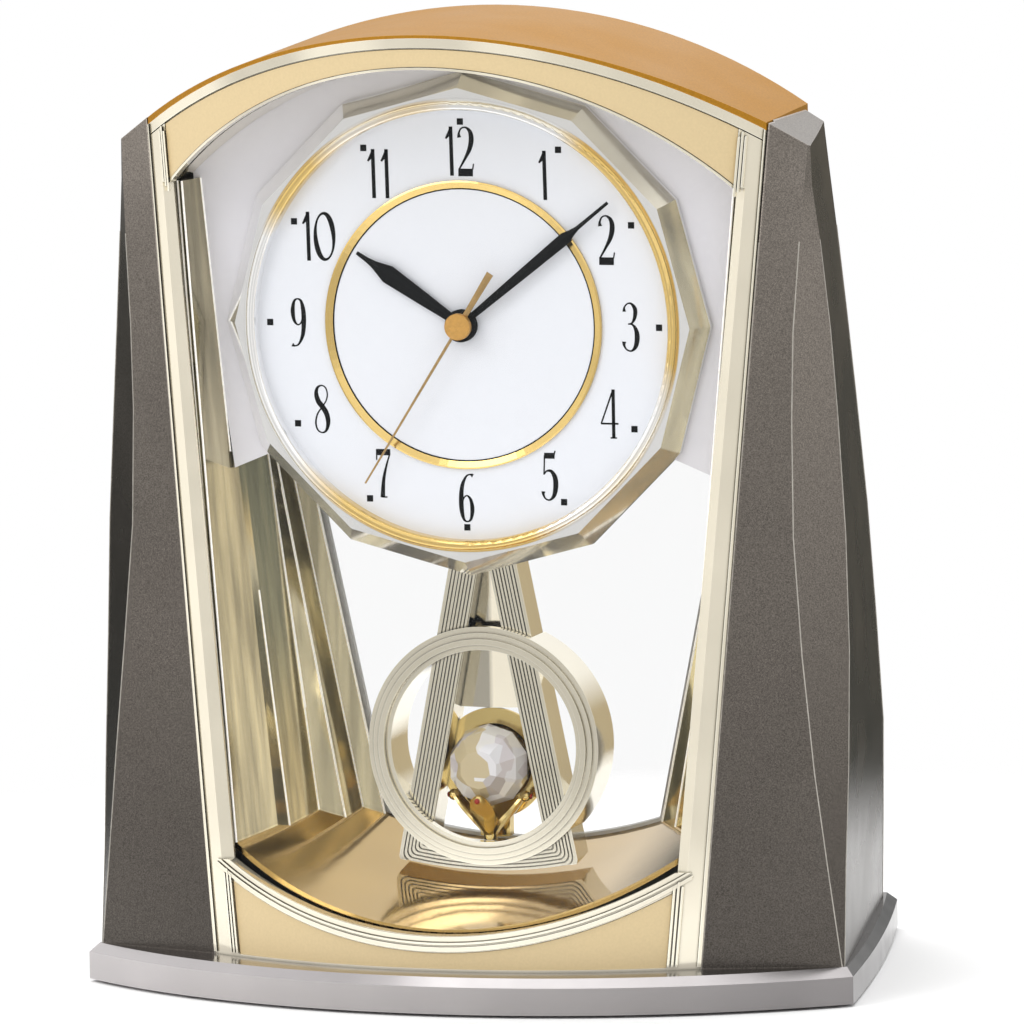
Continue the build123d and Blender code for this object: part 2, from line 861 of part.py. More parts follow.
def dial_bezel():
    """Twelve-sided bezel: bevelled facets round a polished lip."""
    rear = back_panel_front
    crest = rear - bezel_base_depth - bezel_depth
    polygon = Pos(0, shaft_height) * RegularPolygon(bezel_radius, bezel_sides, rotation=90)
    small = Pos(0, shaft_height) * RegularPolygon(bezel_crest_radius, bezel_sides, rotation=90)
    body = through(polygon, rear - bezel_base_depth, rear)
    body += loft([Plane.XZ.offset(-(rear - bezel_base_depth)) * polygon, Plane.XZ.offset(-crest) * small])
    body -= along_y(dial_radius, dial_front, rear + overrun, z=shaft_height)
    body -= along_y(bezel_lip_radius, crest - overrun, dial_front + overrun, z=shaft_height)
    lip_outer = bezel_lip_radius + bezel_lip_width
    lip = along_y(lip_outer, crest - bezel_lip_proud, crest, z=shaft_height)
    lip -= along_y(bezel_lip_radius, crest - wide, crest + overrun, z=shaft_height)
    edges = lip.edges().filter_by(GeomType.CIRCLE).group_by(Axis.Y)[0]
    return body + fillet(edges, bezel_lip_proud * lip_round_share)


def dial_disc():
    """The dial: a plain disc held in the bezel."""
    rear = back_panel_front
    whole = along_y(dial_radius, dial_front, rear, z=shaft_height)
    whole -= along_y(dial_rim_radius, dial_front + dial_thickness, rear + overrun, z=shaft_height)
    hole_radius = hour_arbor_radius + dial_hole_clearance
    return whole - along_y(hole_radius, dial_front - overrun, rear, z=shaft_height)


def dial_ring():
    """The raised gold ring on the dial."""
    front = dial_front - dial_ring_proud
    ring = along_y(dial_ring_radius, front, dial_front, z=shaft_height)
    ring -= along_y(dial_ring_radius - dial_ring_width, front - overrun, dial_front + overrun, z=shaft_height)
    edges = ring.edges().filter_by(GeomType.CIRCLE).group_by(Axis.Y)[0]
    return fillet(edges, dial_ring_proud * ring_round_share)


# Hands


def turned(shape, degrees):
    """The shape turned about the hand shaft, clockwise from the front."""
    return Pos(0, 0, shaft_height) * Rot(Y=degrees) * Pos(0, 0, -shaft_height) * shape


def hand_outline(length, width, neck, belly_share):
    """A lance-shaped hand that points straight up."""
    base_z = shaft_height
    tip_z = base_z + length
    belly_z = base_z + length * belly_share
    right = [(neck / 2, base_z), (neck / 2, belly_z - width)]
    right += [(width / 2, belly_z), (hand_tip_width / 2, tip_z)]
    left = [(-x, z) for x, z in reversed(right)]
    return front_face(right + left) + disc(hand_hub_radius, shaft_height)


hand_layer = hand_thickness + hand_gap
hour_front = dial_front - hour_gap - hand_thickness
minute_front = hour_front - hand_layer
second_front = minute_front - hand_layer
movement_front = back_panel_front + back_panel_thickness + movement_front_gap
arbor_rear = movement_front + movement_depth / 2


def flat_hand(outline, front, bore, degrees):
    """A thin hand with a bore for its arbor."""
    blade = through(outline, front, front + hand_thickness)
    blade -= along_y(bore, front - overrun, front + hand_thickness + overrun, z=shaft_height)
    return turned(blade, degrees)


def hour_hand():
    outline = hand_outline(hour_length, hour_width, hour_neck, hour_belly_share)
    return flat_hand(outline, hour_front, hour_arbor_radius, hour_angle)


def minute_hand():
    outline = hand_outline(minute_length, minute_width, minute_neck, minute_belly_share)
    return flat_hand(outline, minute_front, minute_arbor_radius, minute_angle)


def second_hand():
    """The slim second hand with its tail and round cap."""
    z = shaft_height
    needle = front_face(
        [
            (-second_width / 2, z + second_length),
            (second_width / 2, z + second_length),
            (second_tail_width / 2, z - second_tail),
            (-second_tail_width / 2, z - second_tail),
        ]
    )
    seat = disc(second_cap_radius * cap_seat_share, z)
    blade = through(needle + seat, second_front, second_front + hand_thickness)
    cap = along_y(second_cap_radius, second_front - second_cap_height, second_front, z=z)
    edges = cap.edges().filter_by(GeomType.CIRCLE).group_by(Axis.Y)[0]
    whole = blade + fillet(edges, second_cap_height * cap_round_share)
    whole -= along_y(second_arbor_radius, second_front, second_front + hand_thickness + overrun, z=z)
    return turned(whole, second_angle)


def tube(radius, bore, front, rear):
    """A hollow arbor on the hand shaft's line."""
    return along_y(radius, front, rear, z=shaft_height) - along_y(
        bore, front - overrun, rear + overrun, z=shaft_height
    )


def hour_arbor():
    bore = minute_arbor_radius + arbor_clearance
    return tube(hour_arbor_radius, bore, hour_front, arbor_rear)


def minute_arbor():
    bore = second_arbor_radius + arbor_clearance
    return tube(minute_arbor_radius, bore, minute_front, arbor_rear + arbor_step)


def second_arbor():
    return along_y(second_arbor_radius, second_front, arbor_rear + arbor_step * 2, z=shaft_height)


def shaft_bush():
    """The threaded neck of the movement, through the dial board."""
    bore = hour_arbor_radius + arbor_clearance
    front = back_panel_front - washer_thickness - nut_thickness - hand_gap / 2
    return tube(bush_radius, bore, front, movement_front)


def shaft_washer():
    front = back_panel_front - washer_thickness
    return tube(washer_radius, bush_radius, front, back_panel_front)


def shaft_nut():
    """The hexagonal nut that holds the movement to the dial board."""
    rear = back_panel_front - washer_thickness
    hexagon = Pos(0, shaft_height) * RegularPolygon(nut_across_flats / 2, 6, major_radius=False)
    nut = through(hexagon, rear - nut_thickness, rear)
    return nut - along_y(bush_radius, -wide, wide, z=shaft_height)


# Movement


movement_rear = movement_front + movement_depth
drive_front = pendulum_front + pendulum_depth + magnet_thickness + drive_gap
movement_low = shaft_height - movement_height / 2
battery_y = movement_rear - battery_wall
battery_z = shaft_height - battery_drop
knob_x = knob_offset
knob_z = shaft_height + knob_rise
bay_radius = battery_radius + battery_clearance


def movement_case():
    """The moulded case of the movement, with an open battery bay and bores for its arbors."""
    low = movement_low
    high = low + movement_height
    case = block(-movement_width / 2, movement_width / 2, movement_front, movement_rear, low, high)
    case = fillet(case.edges().filter_by(Axis.Y), movement_corner)
    bay_wall = bay_radius + battery_wall
    half = battery_length / 2 + battery_button_length + battery_wall
    bay = Pos(0, battery_y, battery_z) * Rot(Y=90) * Cylinder(bay_wall, half * 2)
    bay &= block(-wide, wide, movement_front, battery_y, 0, wide)
    case += bay
    inner = half - battery_wall
    case -= Pos(0, battery_y, battery_z) * Rot(Y=90) * Cylinder(bay_radius, inner * 2)
    case -= block(-inner, inner, battery_y, battery_y + wide, battery_z - bay_radius, battery_z + bay_radius)
    arbor_room = hour_arbor_radius + arbor_clearance * 4
    arbor_end = arbor_rear + arbor_step * 2 + arbor_end_gap
    case -= along_y(arbor_room, movement_front - overrun, arbor_end, z=shaft_height)
    knob_bore = knob_shaft_radius + knob_clearance
    return case - along_y(knob_bore, arbor_rear, movement_rear + overrun, x=knob_x, z=knob_z)


def drive_case():
    """The lower case that holds the drive coil behind the pendulum."""
    low = movement_low - drive_height
    box = block(-drive_width / 2, drive_width / 2, drive_front, drive_front + drive_depth, low, movement_low)
    return fillet(box.edges().filter_by(Axis.Y).group_by(Axis.Z)[0], movement_corner)


def pivot_bracket():
    """Two ears under the movement, bored for the pivot pin."""
    front_ear = pendulum_front - ear_gap - ear_thickness
    rear_ear = pendulum_front + pendulum_depth + ear_gap
    ears = []
    for y in (front_ear, rear_ear):
        foot = pivot_height - ear_width / 2
        ear = block(-ear_width / 2, ear_width / 2, y, y + ear_thickness, foot, movement_low)
        edges = ear.edges().filter_by(Axis.Y).group_by(Axis.Z)[0]
        ears.append(fillet(edges, ear_width * ear_round_share))
    deck_low = movement_low - ear_thickness
    deck = block(
        -ear_width / 2,
        ear_width / 2,
        front_ear,
        rear_ear + ear_thickness,
        deck_low + ear_thickness * ear_round_share,
        movement_low,
    )
    bracket = ears[0] + ears[1] + deck
    return bracket - along_y(pivot_pin_radius, -wide, wide, z=pivot_height)


def pivot_pin():
    front = pendulum_front - ear_gap - ear_thickness
    rear = pendulum_front + pendulum_depth + ear_gap + ear_thickness
    return along_y(pivot_pin_radius, front, rear, z=pivot_height)


def battery():
    """One AA cell, lying across the movement."""
    cell = Pos(0, battery_y, battery_z) * Rot(Y=90) * Cylinder(battery_radius, battery_length)
    button_x = battery_length / 2 + battery_button_length / 2
    button = Cylinder(battery_button_radius, battery_button_length)
    return cell + Pos(button_x, battery_y, battery_z) * Rot(Y=90) * button


def set_knob():
    """The fluted knob that sets the hands."""
    front = movement_rear + knob_clearance * 4
    knob = along_y(knob_radius, front, front + knob_length, x=knob_x, z=knob_z)
    flute = knob_radius * math.pi / knob_teeth / 2
    for i in range(knob_teeth):
        angle = math.radians(i * 360 / knob_teeth)
        x = knob_x + knob_radius * math.cos(angle)
        z = knob_z + knob_radius * math.sin(angle)
        knob -= along_y(flute, front - overrun, front + knob_length + overrun, x=x, z=z)
    shaft_front = arbor_rear + knob_clearance * 4
    return knob + along_y(knob_shaft_radius, shaft_front, front, x=knob_x, z=knob_z)


# Pendulum

pendulum_rear = pendulum_front + pendulum_depth


def pendulum_half(z):
    """Half the width of the pendulum frame at a height."""
    return foot_half - leg_spread * (z - foot_shoulder_height)


def pendulum_outline(inset=0.0):
    """The tall triangle of the frame, with a foot rounded about the pivot."""
    slant = math.hypot(1, leg_spread)
    top_z = pivot_height
    foot_radius_in = foot_swing_radius - inset
    foot_x = foot_half - inset * slant
    foot_z = pivot_height - math.sqrt(foot_radius_in**2 - foot_x**2)
    foot_x = pendulum_half(foot_z) - inset * slant
    top_x = pendulum_half(top_z) - inset * slant
    if top_x < hand_tip_width:
        top_x = hand_tip_width / 2
        reach = (pendulum_half(0) - inset * slant - top_x) / leg_spread
        top_z = min(top_z, reach)
    right = Line((foot_x, foot_z), (top_x, top_z))
    head = Line((top_x, top_z), (-top_x, top_z))
    left = Line((-top_x, top_z), (-foot_x, foot_z))
    foot = ThreePointArc((-foot_x, foot_z), (0, pivot_height - foot_radius_in), (foot_x, foot_z))
    return make_face(right + head + left + foot)


def rounded_outline(inset=0.0):
    """The outline with its two foot corners rounded."""
    face = pendulum_outline(inset)
    corners = face.vertices().group_by(Axis.Y)[0]
    radius = max(frame_corner - inset * corner_share, frame_corner * corner_share)
    return fillet(corners, radius)


def pendulum_frame():
    """The ribbed A-shaped frame with its pivot eye."""
    window = pendulum_outline(frame_bar)
    frame = through(rounded_outline() - window, pendulum_front, pendulum_rear)
    for i in range(1, rib_count + 1):
        inset = i * rib_pitch
        groove = rounded_outline(inset) - rounded_outline(inset + rib_groove)
        cut = through(groove, pendulum_front - overrun, pendulum_front + rib_groove_depth)
        cut &= block(-wide, wide, -wide, wide, 0, pivot_height - pivot_eye_radius * 3)
        frame -= cut
    frame += along_y(pivot_eye_radius, pendulum_front, pendulum_rear, z=pivot_height)
    frame -= Pos(0, 0, foot_floor_gap) * floor_space(mouth_sill)
    return frame - along_y(pivot_pin_radius + pivot_clearance, -wide, wide, z=pivot_height)


def pendulum_plate():
    """The ridged plate between the legs."""
    window = pendulum_outline(frame_bar)
    ridge = pendulum_front + plate_ridge_set
    edge = pendulum_front + plate_edge_set
    half = foot_half
    tall = pivot_height
    rear = edge + plate_thickness
    points = [(0, ridge), (half, edge), (half, rear), (-half, rear), (-half, edge)]
    fold = extrude(make_face(Polyline(*points, close=True)), tall)
    fold &= block(-half, half, pendulum_front, pendulum_rear, plate_foot, tall)
    return fold & through(window, pendulum_front, pendulum_rear)


def pendulum_ring():
    """The deep ring, stepped on its front and notched where it grips the frame."""
    front = pendulum_front - ring_front_proud
    rear = pendulum_rear + ring_rear_proud
    z = ring_centre_height
    ring = along_y(ring_radius, front + ring_step, rear, z=z)
    ring += along_y(ring_radius - ring_step, front + ring_step / 2, front + ring_step, z=z)
    ring += along_y(ring_radius - ring_step * 2, front, front + ring_step / 2, z=z)
    ring -= along_y(ring_bore, front - overrun, rear + overrun, z=z)
    ring -= along_y(ring_bore + ring_step, front - overrun, front + ring_step, z=z)
    outer = pendulum_outline()
    return ring - through(outer, pendulum_front, rear + overrun)


def crystal():
    """The cut crystal ball: flat facets in rings, with a table in front."""
    y = pendulum_front + crystal_set
    stack = []
    for angle in crystal_angles:
        a = math.radians(angle)
        stack.append((crystal_radius * math.cos(a), crystal_radius * math.sin(a)))
    faces = []
    for radius, depth in stack:
        face = Pos(0, crystal_height) * RegularPolygon(radius, crystal_sides, rotation=90)
        faces.append(Plane.XZ.offset(-(y + depth)) * face)
    return loft(faces, ruled=True)


def crystal_shell():
    """The gold cup behind the crystal, with its flange and the post that the ring carries."""
    y = pendulum_front + crystal_set
    inner = crystal_radius + shell_gap
    outer = inner + shell_thickness
    front = y + shell_set
    cup = Pos(0, y, crystal_height) * (Sphere(outer) - Sphere(inner))
    cup &= block(-outer, outer, front, y + outer, 0, wide)
    flange = along_y(crystal_radius + shell_flange, front, front + shell_thickness, z=crystal_height)
    post_low = ring_centre_height - ring_bore - overrun
    half = shell_post_width / 2
    post = block(-half, half, front, pendulum_rear, post_low, crystal_height)
    post &= through(disc(ring_bore, ring_centre_height), pendulum_front, pendulum_rear)
    carrier = flange + post - Pos(0, y, crystal_height) * Sphere(inner + shell_thickness / 2)
    window = through(pendulum_outline(frame_bar), pendulum_front, pendulum_rear + crystal_radius)
    return (cup + carrier) & window


# Each row: a place on the leaves' inner side, out from the stem's line and up from the crystal's
# middle, as shares of the crystal's radius.
petal_shares = ((0.08, -1.7), (0.33, -1.4), (0.68, -0.97), (0.9, -0.6), (0.98, -0.42))


def petal_cup():
    """The cup that all the leaves are cut from, round the stem's line."""
    inner = [(crystal_radius * out, crystal_radius * up) for out, up in petal_shares]
    outer = [(x + petal_thickness, z) for x, z in inner]
    sides = Spline(*inner) + Spline(*outer)
    ends = Line(inner[0], outer[0]) + Line(inner[-1], outer[-1])
    return revolve(Plane.XZ * make_face(sides + ends), Axis.Z)


def petal():
    """The front leaf with its bead, about the crystal's middle."""
    outline = Pos(0, -petal_drop) * Ellipse(petal_width / 2, petal_height / 2)
    leaf = petal_cup() & through(outline, -crystal_radius - petal_thickness, 0)
    out_share, up_share = petal_shares[-2]
    bead = Sphere(petal_bead_radius)
    return leaf + Pos(0, -crystal_radius * out_share, crystal_radius * up_share - petal_bead_radius) * bead


def crystal_petals():
    """Three gold leaves round the crystal's foot, on a short stem that the ring carries."""
    y = pendulum_front + crystal_set
    low = ring_centre_height - ring_bore - overrun
    stem = upright(petal_stem_radius, low, crystal_height - petal_drop - petal_height / 3, y)
    stem &= through(disc(ring_bore, ring_centre_height), pendulum_front, pendulum_rear)
    whole = stem
    for turn in (-90, 0, 90):
        whole += Pos(0, y, crystal_height) * Rot(Z=turn) * petal()
    return whole


def pendulum_magnet():
    rear = pendulum_rear + magnet_thickness
    return along_y(magnet_radius, pendulum_rear, rear, z=magnet_height)


# Rear


def rear_side(low, high, outset):
    """The side outline of the sloped back, set off by a distance, as (y, z) pairs."""
    return [(rear_y(low) + outset, low), (rear_y(high) + outset, high)]


def door_hinge(ear):
    """The hinge rolls: the door's barrels, or the cover's ears on both sides of each barrel."""
    spans = [(-door_barrel_length / 2, door_barrel_length / 2)]
    if ear:
        near = door_barrel_length / 2 + door_clearance
        spans = [(near, near + door_ear_length), (-near - door_ear_length, -near)]
    return [
        (place + low, place + high)
        for place in (-door_barrel_place, door_barrel_place)
        for low, high in spans
    ]


def hinge_roll(radius, low, high):
    """A roll on the door's hinge line between two places across the clock."""
    return Pos((low + high) / 2, rear_y(door_foot), door_foot) * Rot(Y=90) * Cylinder(radius, high - low)


def rear_cover():
    """The sloped cover over the movement, with a hole and hinge ears for the door."""
    low, high = rear_cover_foot, wing_shoulder_height
    top = arch_crown + cover_rear_rise
    line = rear_side(low, high, 0) + [(wing_rear_head, top)]
    inner = [(y - rear_cover_thickness, z) for y, z in reversed(line)]
    side = make_face(Polyline(*line, *inner, close=True))
    sheet = extrude(Plane.YZ * side, wide / 2, both=True)
    low_half = wing_inner(low) - rear_cover_clearance
    high_half = wing_inner(high) - rear_cover_clearance
    points = [(-low_half, low), (low_half, low), (high_half, high)]
    points += [(high_half, wide), (-high_half, wide), (-high_half, high)]
    sides = front_face(points)
    cover = sheet & through(body_outline(rear_cover_clearance), -wide, wide) & through(sides, -wide, wide)
    half = door_width / 2 + door_clearance
    cover -= block(-half, half, -wide, wide, door_foot - door_clearance, door_head + door_clearance)
    for start, end in door_hinge(ear=False):
        cover -= hinge_roll(door_barrel_radius + door_clearance, start - door_clearance, end + door_clearance)
    for start, end in door_hinge(ear=True):
        cover += hinge_roll(door_barrel_radius, start, end)
    return cover - hinge_roll(door_pin_radius, -half, half)


def rear_door():
    """The battery door, with two hinge barrels at its foot and a thumb notch at its head."""
    outer = rear_side(door_foot, door_head, 0)
    inner = [(y - door_thickness, z) for y, z in reversed(outer)]
    side = make_face(Polyline(*outer, *inner, close=True))
    door = extrude(Plane.YZ * side, door_width / 2, both=True)
    notch_z = door_head + door_pull_radius - door_pull_depth
    door -= along_y(door_pull_radius, -wide, wide, z=notch_z)
    for start, end in door_hinge(ear=True):
        door -= hinge_roll(door_barrel_radius + door_clearance, start - door_clearance, end + door_clearance)
    for start, end in door_hinge(ear=False):
        door += hinge_roll(door_barrel_radius, start, end)
    return door - hinge_roll(door_pin_radius + door_pin_clearance, -door_width / 2, door_width / 2)


def door_pins():
    """Two hinge pins, each held in a pair of ears."""
    reach = door_barrel_length / 2 + door_clearance + door_ear_length
    places = (-door_barrel_place, door_barrel_place)
    return [hinge_roll(door_pin_radius, x - reach, x + reach) for x in places]


parts = {
    "base_plinth": base_plinth,
    "bottom_plate": bottom_plate,
    "front_frame": front_frame,
    "arch_panel": lambda: inlaid(arch_panel_outline(panel_clearance)),
    "lower_panel": lambda: inlaid(lower_panel_outline(panel_clearance)),
    "front_pane": front_pane,
    "side_panel_right": side_panel,
    "top_cover": top_cover,
    "niche_wall_right": niche_wall_right,
    "niche_floor": niche_floor,
    "arch_reveal": arch_reveal,
    "shelf": shelf,
    "window_frame": window_frame,
    "rear_window": rear_window,
    "back_panel": back_panel,
    "dial_bezel": dial_bezel,
    "dial": dial_disc,
    "dial_ring": dial_ring,
    "hour_hand": hour_hand,
    "minute_hand": minute_hand,
    "second_hand": second_hand,
    "hour_arbor": hour_arbor,
    "minute_arbor": minute_arbor,
    "second_arbor": second_arbor,
    "shaft_bush": shaft_bush,
    "shaft_washer": shaft_washer,
    "shaft_nut": shaft_nut,
    "movement_case": movement_case,
    "drive_case": drive_case,
    "pivot_bracket": pivot_bracket,
    "pivot_pin": pivot_pin,
    "battery": battery,
    "set_knob": set_knob,
    "pendulum_frame": pendulum_frame,
    "pendulum_plate": pendulum_plate,
    "pendulum_ring": pendulum_ring,
    "crystal": crystal,
    "crystal_shell": crystal_shell,
    "crystal_petals": crystal_petals,
    "pendulum_magnet": pendulum_magnet,
    "rear_cover": rear_cover,
    "rear_door": rear_door,
}
groups = {
    "base_feet": base_feet,
    "bottom_screws": bottom_screws,
    "door_pins": door_pins,
}
mirrored = {"side_panel_right": "side_panel_left", "niche_wall_right": "niche_wall_left"}

os.makedirs("parts", exist_ok=True)
for name, make in parts.items():
    solid = make()
    save(name, solid)
    if name in mirrored:
        save(mirrored[name], mirror(solid, about=Plane.YZ))
for name, make in groups.items():
    save(name, Compound(children=make()))
print(len(part_names), "parts written")
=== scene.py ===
import json
import math

import bmesh
import bpy
from mathutils import Matrix, Vector


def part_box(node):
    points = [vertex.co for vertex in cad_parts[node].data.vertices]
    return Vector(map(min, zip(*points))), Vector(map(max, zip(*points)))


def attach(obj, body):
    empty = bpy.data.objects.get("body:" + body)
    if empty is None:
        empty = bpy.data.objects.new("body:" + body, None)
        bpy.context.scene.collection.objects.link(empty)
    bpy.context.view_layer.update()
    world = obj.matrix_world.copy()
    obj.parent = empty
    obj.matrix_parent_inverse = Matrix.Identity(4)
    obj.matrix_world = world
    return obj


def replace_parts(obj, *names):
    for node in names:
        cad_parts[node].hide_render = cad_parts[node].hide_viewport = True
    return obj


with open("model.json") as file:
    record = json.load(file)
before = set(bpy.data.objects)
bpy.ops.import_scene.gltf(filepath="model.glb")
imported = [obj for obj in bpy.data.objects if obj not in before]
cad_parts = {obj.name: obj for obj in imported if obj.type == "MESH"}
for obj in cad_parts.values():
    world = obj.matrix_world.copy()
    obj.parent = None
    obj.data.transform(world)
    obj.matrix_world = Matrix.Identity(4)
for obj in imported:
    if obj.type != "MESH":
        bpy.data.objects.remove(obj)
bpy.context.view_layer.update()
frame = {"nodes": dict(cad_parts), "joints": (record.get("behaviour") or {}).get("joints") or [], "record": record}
nodes = frame["nodes"]
joint_place = {joint["name"]: Vector(joint["pos_m"]) for joint in frame["joints"]}

MM = 0.001

# Colours, as display values from 0 to 255
SILVER = (176, 172, 172)
GUNMETAL = (118, 112, 106)
BRONZE = (172, 121, 34)
CHAMPAGNE = (238, 231, 212)
GOLD = (232, 200, 126)
BEIGE = (215, 193, 149)
NICHE = (214, 203, 168)
NICHE_FLOOR = (190, 160, 102)
LAVENDER = (230, 229, 236)
DIAL = (230, 233, 240)
BLACK = (8, 8, 9)
DARK = (44, 44, 46)
STEEL = (170, 170, 172)
BRASS = (200, 170, 100)
JACKET = (60, 62, 68)
PALE = (250, 250, 250)
CLEAR = (150, 156, 160)
WINDOW = (226, 225, 222)
CUP = (216, 192, 128)
# Painted highlight along the creases of the side panels
PANEL_HIGHLIGHT = (176, 172, 164)
NEEDLE = (170, 140, 92)
CAP = (206, 158, 84)
BEAD = (150, 40, 24)
FLOOR = (252, 252, 252)
CRYSTAL = (252, 250, 250)
# Painted reflections: white, gray and champagne light that the facets of the crystal throw, painted into their
# colour
CRYSTAL_PAINTED_LIGHT = [
    (255, 255, 255), (232, 226, 230), (255, 253, 249), (222, 206, 168), (250, 250, 255), (205, 199, 198),
]


def linear(rgb):
    """Display values from 0 to 255 as linear light."""
    out = []
    for v in rgb:
        c = v / 255
        out.append(c / 12.92 if c <= 0.04045 else ((c + 0.055) / 1.055) ** 2.4)
    return tuple(out)


def shade(rgb, factor):
    return tuple(min(1.0, c * factor) for c in linear(rgb)) + (1.0,)


# Materials; the scales of patches and cells are in cells per millimetre

SHELTER_SAMPLES = 6
BAND_PATCHES = 0.022
BAND_EDGE = 0.002
CRYSTAL_CELLS = 0.24
CLEAR_ALPHA = 0.018


class Finish:
    """A principled material whose colour, roughness and relief vary over the surface."""

    def __init__(self, name, rgb, metallic=0.0, roughness=0.5):
        self.rgb = rgb
        self.roughness = roughness
        self.material = bpy.data.materials.new(name)
        self.material.use_nodes = True
        self.tree = self.material.node_tree
        self.shader = self.tree.nodes["Principled BSDF"]
        self.set("Base Color", shade(rgb, 1.0))
        self.set("Metallic", metallic)
        self.set("Roughness", roughness)
        self.place = self.node("ShaderNodeTexCoord").outputs["Object"]

    def set(self, socket, value):
        self.shader.inputs[socket].default_value = value

    def node(self, kind):
        return self.tree.nodes.new(kind)

    def link(self, start, end):
        self.tree.links.new(start, end)

    def noise(self, scale, detail=2.0, stretch=(1, 1, 1)):
        """Noise over the surface, with its scale in cells per millimetre."""
        mapping = self.node("ShaderNodeMapping")
        mapping.inputs["Scale"].default_value = stretch
        texture = self.node("ShaderNodeTexNoise")
        texture.inputs["Scale"].default_value = scale / MM
        texture.inputs["Detail"].default_value = detail
        self.link(self.place, mapping.inputs["Vector"])
        self.link(mapping.outputs["Vector"], texture.inputs["Vector"])
        return texture.outputs["Fac"]

    def spread(self, source, low, high, start=0.3, end=0.7):
        """Low up to the start of the source's values, high from their end, and evenly between."""
        ramp = self.node("ShaderNodeMapRange")
        ramp.inputs["From Min"].default_value = start
        ramp.inputs["From Max"].default_value = end
        ramp.inputs["To Min"].default_value = low
        ramp.inputs["To Max"].default_value = high
        self.link(source, ramp.inputs["Value"])
        return ramp.outputs["Result"]

    def mottle(self, scale, dark, light, stretch=(1, 1, 1)):
        """Darker and lighter cells in the colour."""
        mix = self.node("ShaderNodeMix")
        mix.data_type = "RGBA"
        mix.inputs["A"].default_value = shade(self.rgb, dark)
        mix.inputs["B"].default_value = shade(self.rgb, light)
        cells = self.noise(scale, stretch=stretch)
        self.link(self.spread(cells, 0, 1), mix.inputs["Factor"])
        self.link(mix.outputs["Result"], self.shader.inputs["Base Color"])
        return self

    def uneven(self, scale, by):
        """Roughness that drifts by a little over the surface."""
        low, high = max(0.0, self.roughness - by), self.roughness + by
        self.link(self.spread(self.noise(scale), low, high), self.shader.inputs["Roughness"])
        return self

    def tint(self, factor):
        """Scales the colour made so far."""
        scale = self.node("ShaderNodeVectorMath")
        scale.operation = "SCALE"
        colour = self.shader.inputs["Base Color"]
        self.link(colour.links[0].from_socket, scale.inputs["Vector"])
        self.link(factor, scale.inputs["Scale"])
        self.link(scale.outputs["Vector"], colour)
        return self

    def graded(self, low, high, start, end, axis="Z"):
        """Scales the colour from low to high along an axis; start and end are in millimetres."""
        split = self.node("ShaderNodeSeparateXYZ")
        self.link(self.place, split.inputs["Vector"])
        return self.tint(self.spread(split.outputs[axis], low, high, start * MM, end * MM))

    def sheltered(self, reach, inside):
        """How open each place is within a reach in millimetres, outside or inside the solid."""
        shelter = self.node("ShaderNodeAmbientOcclusion")
        shelter.samples = SHELTER_SAMPLES
        shelter.inside = inside
        shelter.inputs["Distance"].default_value = reach * MM
        return shelter.outputs["AO"]

    def hollowed(self, reach, dark):
        """Painted shade: darker in grooves and corners."""
        return self.tint(self.spread(self.sheltered(reach, False), dark, 1.0, 0.3, 0.9))

    def edged(self, reach, light):
        """Painted highlights: lighter along outer edges."""
        return self.tint(self.spread(self.sheltered(reach, True), light, 1.0, 0.45, 0.85))

    def vector_math(self, operation, source, other=None):
        item = self.node("ShaderNodeVectorMath")
        item.operation = operation
        self.link(source, item.inputs[0])
        if other is not None:
            item.inputs[1].default_value = other
        return item.outputs["Value" if operation == "LENGTH" else "Vector"]

    def banded(self, rgb, other_rgb, radius, centre):
        """Patches of two colours within a radius of an axis that runs front to back, in metres."""
        colour = self.shader.inputs["Base Color"]
        patches = self.node("ShaderNodeMix")
        patches.data_type = "RGBA"
        patches.inputs["A"].default_value = shade(rgb, 1.0)
        patches.inputs["B"].default_value = shade(other_rgb, 1.0)
        cells = self.noise(BAND_PATCHES, 0.0)
        self.link(self.spread(cells, 0, 1, 0.42, 0.55), patches.inputs["Factor"])
        offset = self.vector_math("SUBTRACT", self.place, centre)
        distance = self.vector_math("LENGTH", self.vector_math("MULTIPLY", offset, (1, 0, 1)))
        outside = self.spread(distance, 0, 1, radius * (1 - BAND_EDGE), radius * (1 + BAND_EDGE))
        mix = self.node("ShaderNodeMix")
        mix.data_type = "RGBA"
        self.link(patches.outputs["Result"], mix.inputs["A"])
        self.link(colour.links[0].from_socket, mix.inputs["B"])
        self.link(outside, mix.inputs["Factor"])
        self.link(mix.outputs["Result"], colour)
        return self

    def dull(self, level):
        """A surface that reflects less than plain plastic does."""
        self.set("Specular IOR Level", level)
        return self

    def relief(self, scale, depth):
        """Fine relief, with its depth in millimetres."""
        bump = self.node("ShaderNodeBump")
        bump.inputs["Distance"].default_value = depth * MM
        bump.inputs["Strength"].default_value = 1.0
        self.link(self.noise(scale), bump.inputs["Height"])
        self.link(bump.outputs["Normal"], self.shader.inputs["Normal"])
        return self


def clear_finish():
    """Clear sheet, seen only by what it reflects."""
    finish = Finish("clear_plastic", CLEAR, roughness=0.02)
    finish.uneven(0.02, 0.01)
    finish.set("Alpha", CLEAR_ALPHA)
    finish.material.surface_render_method = "BLENDED"
    return finish


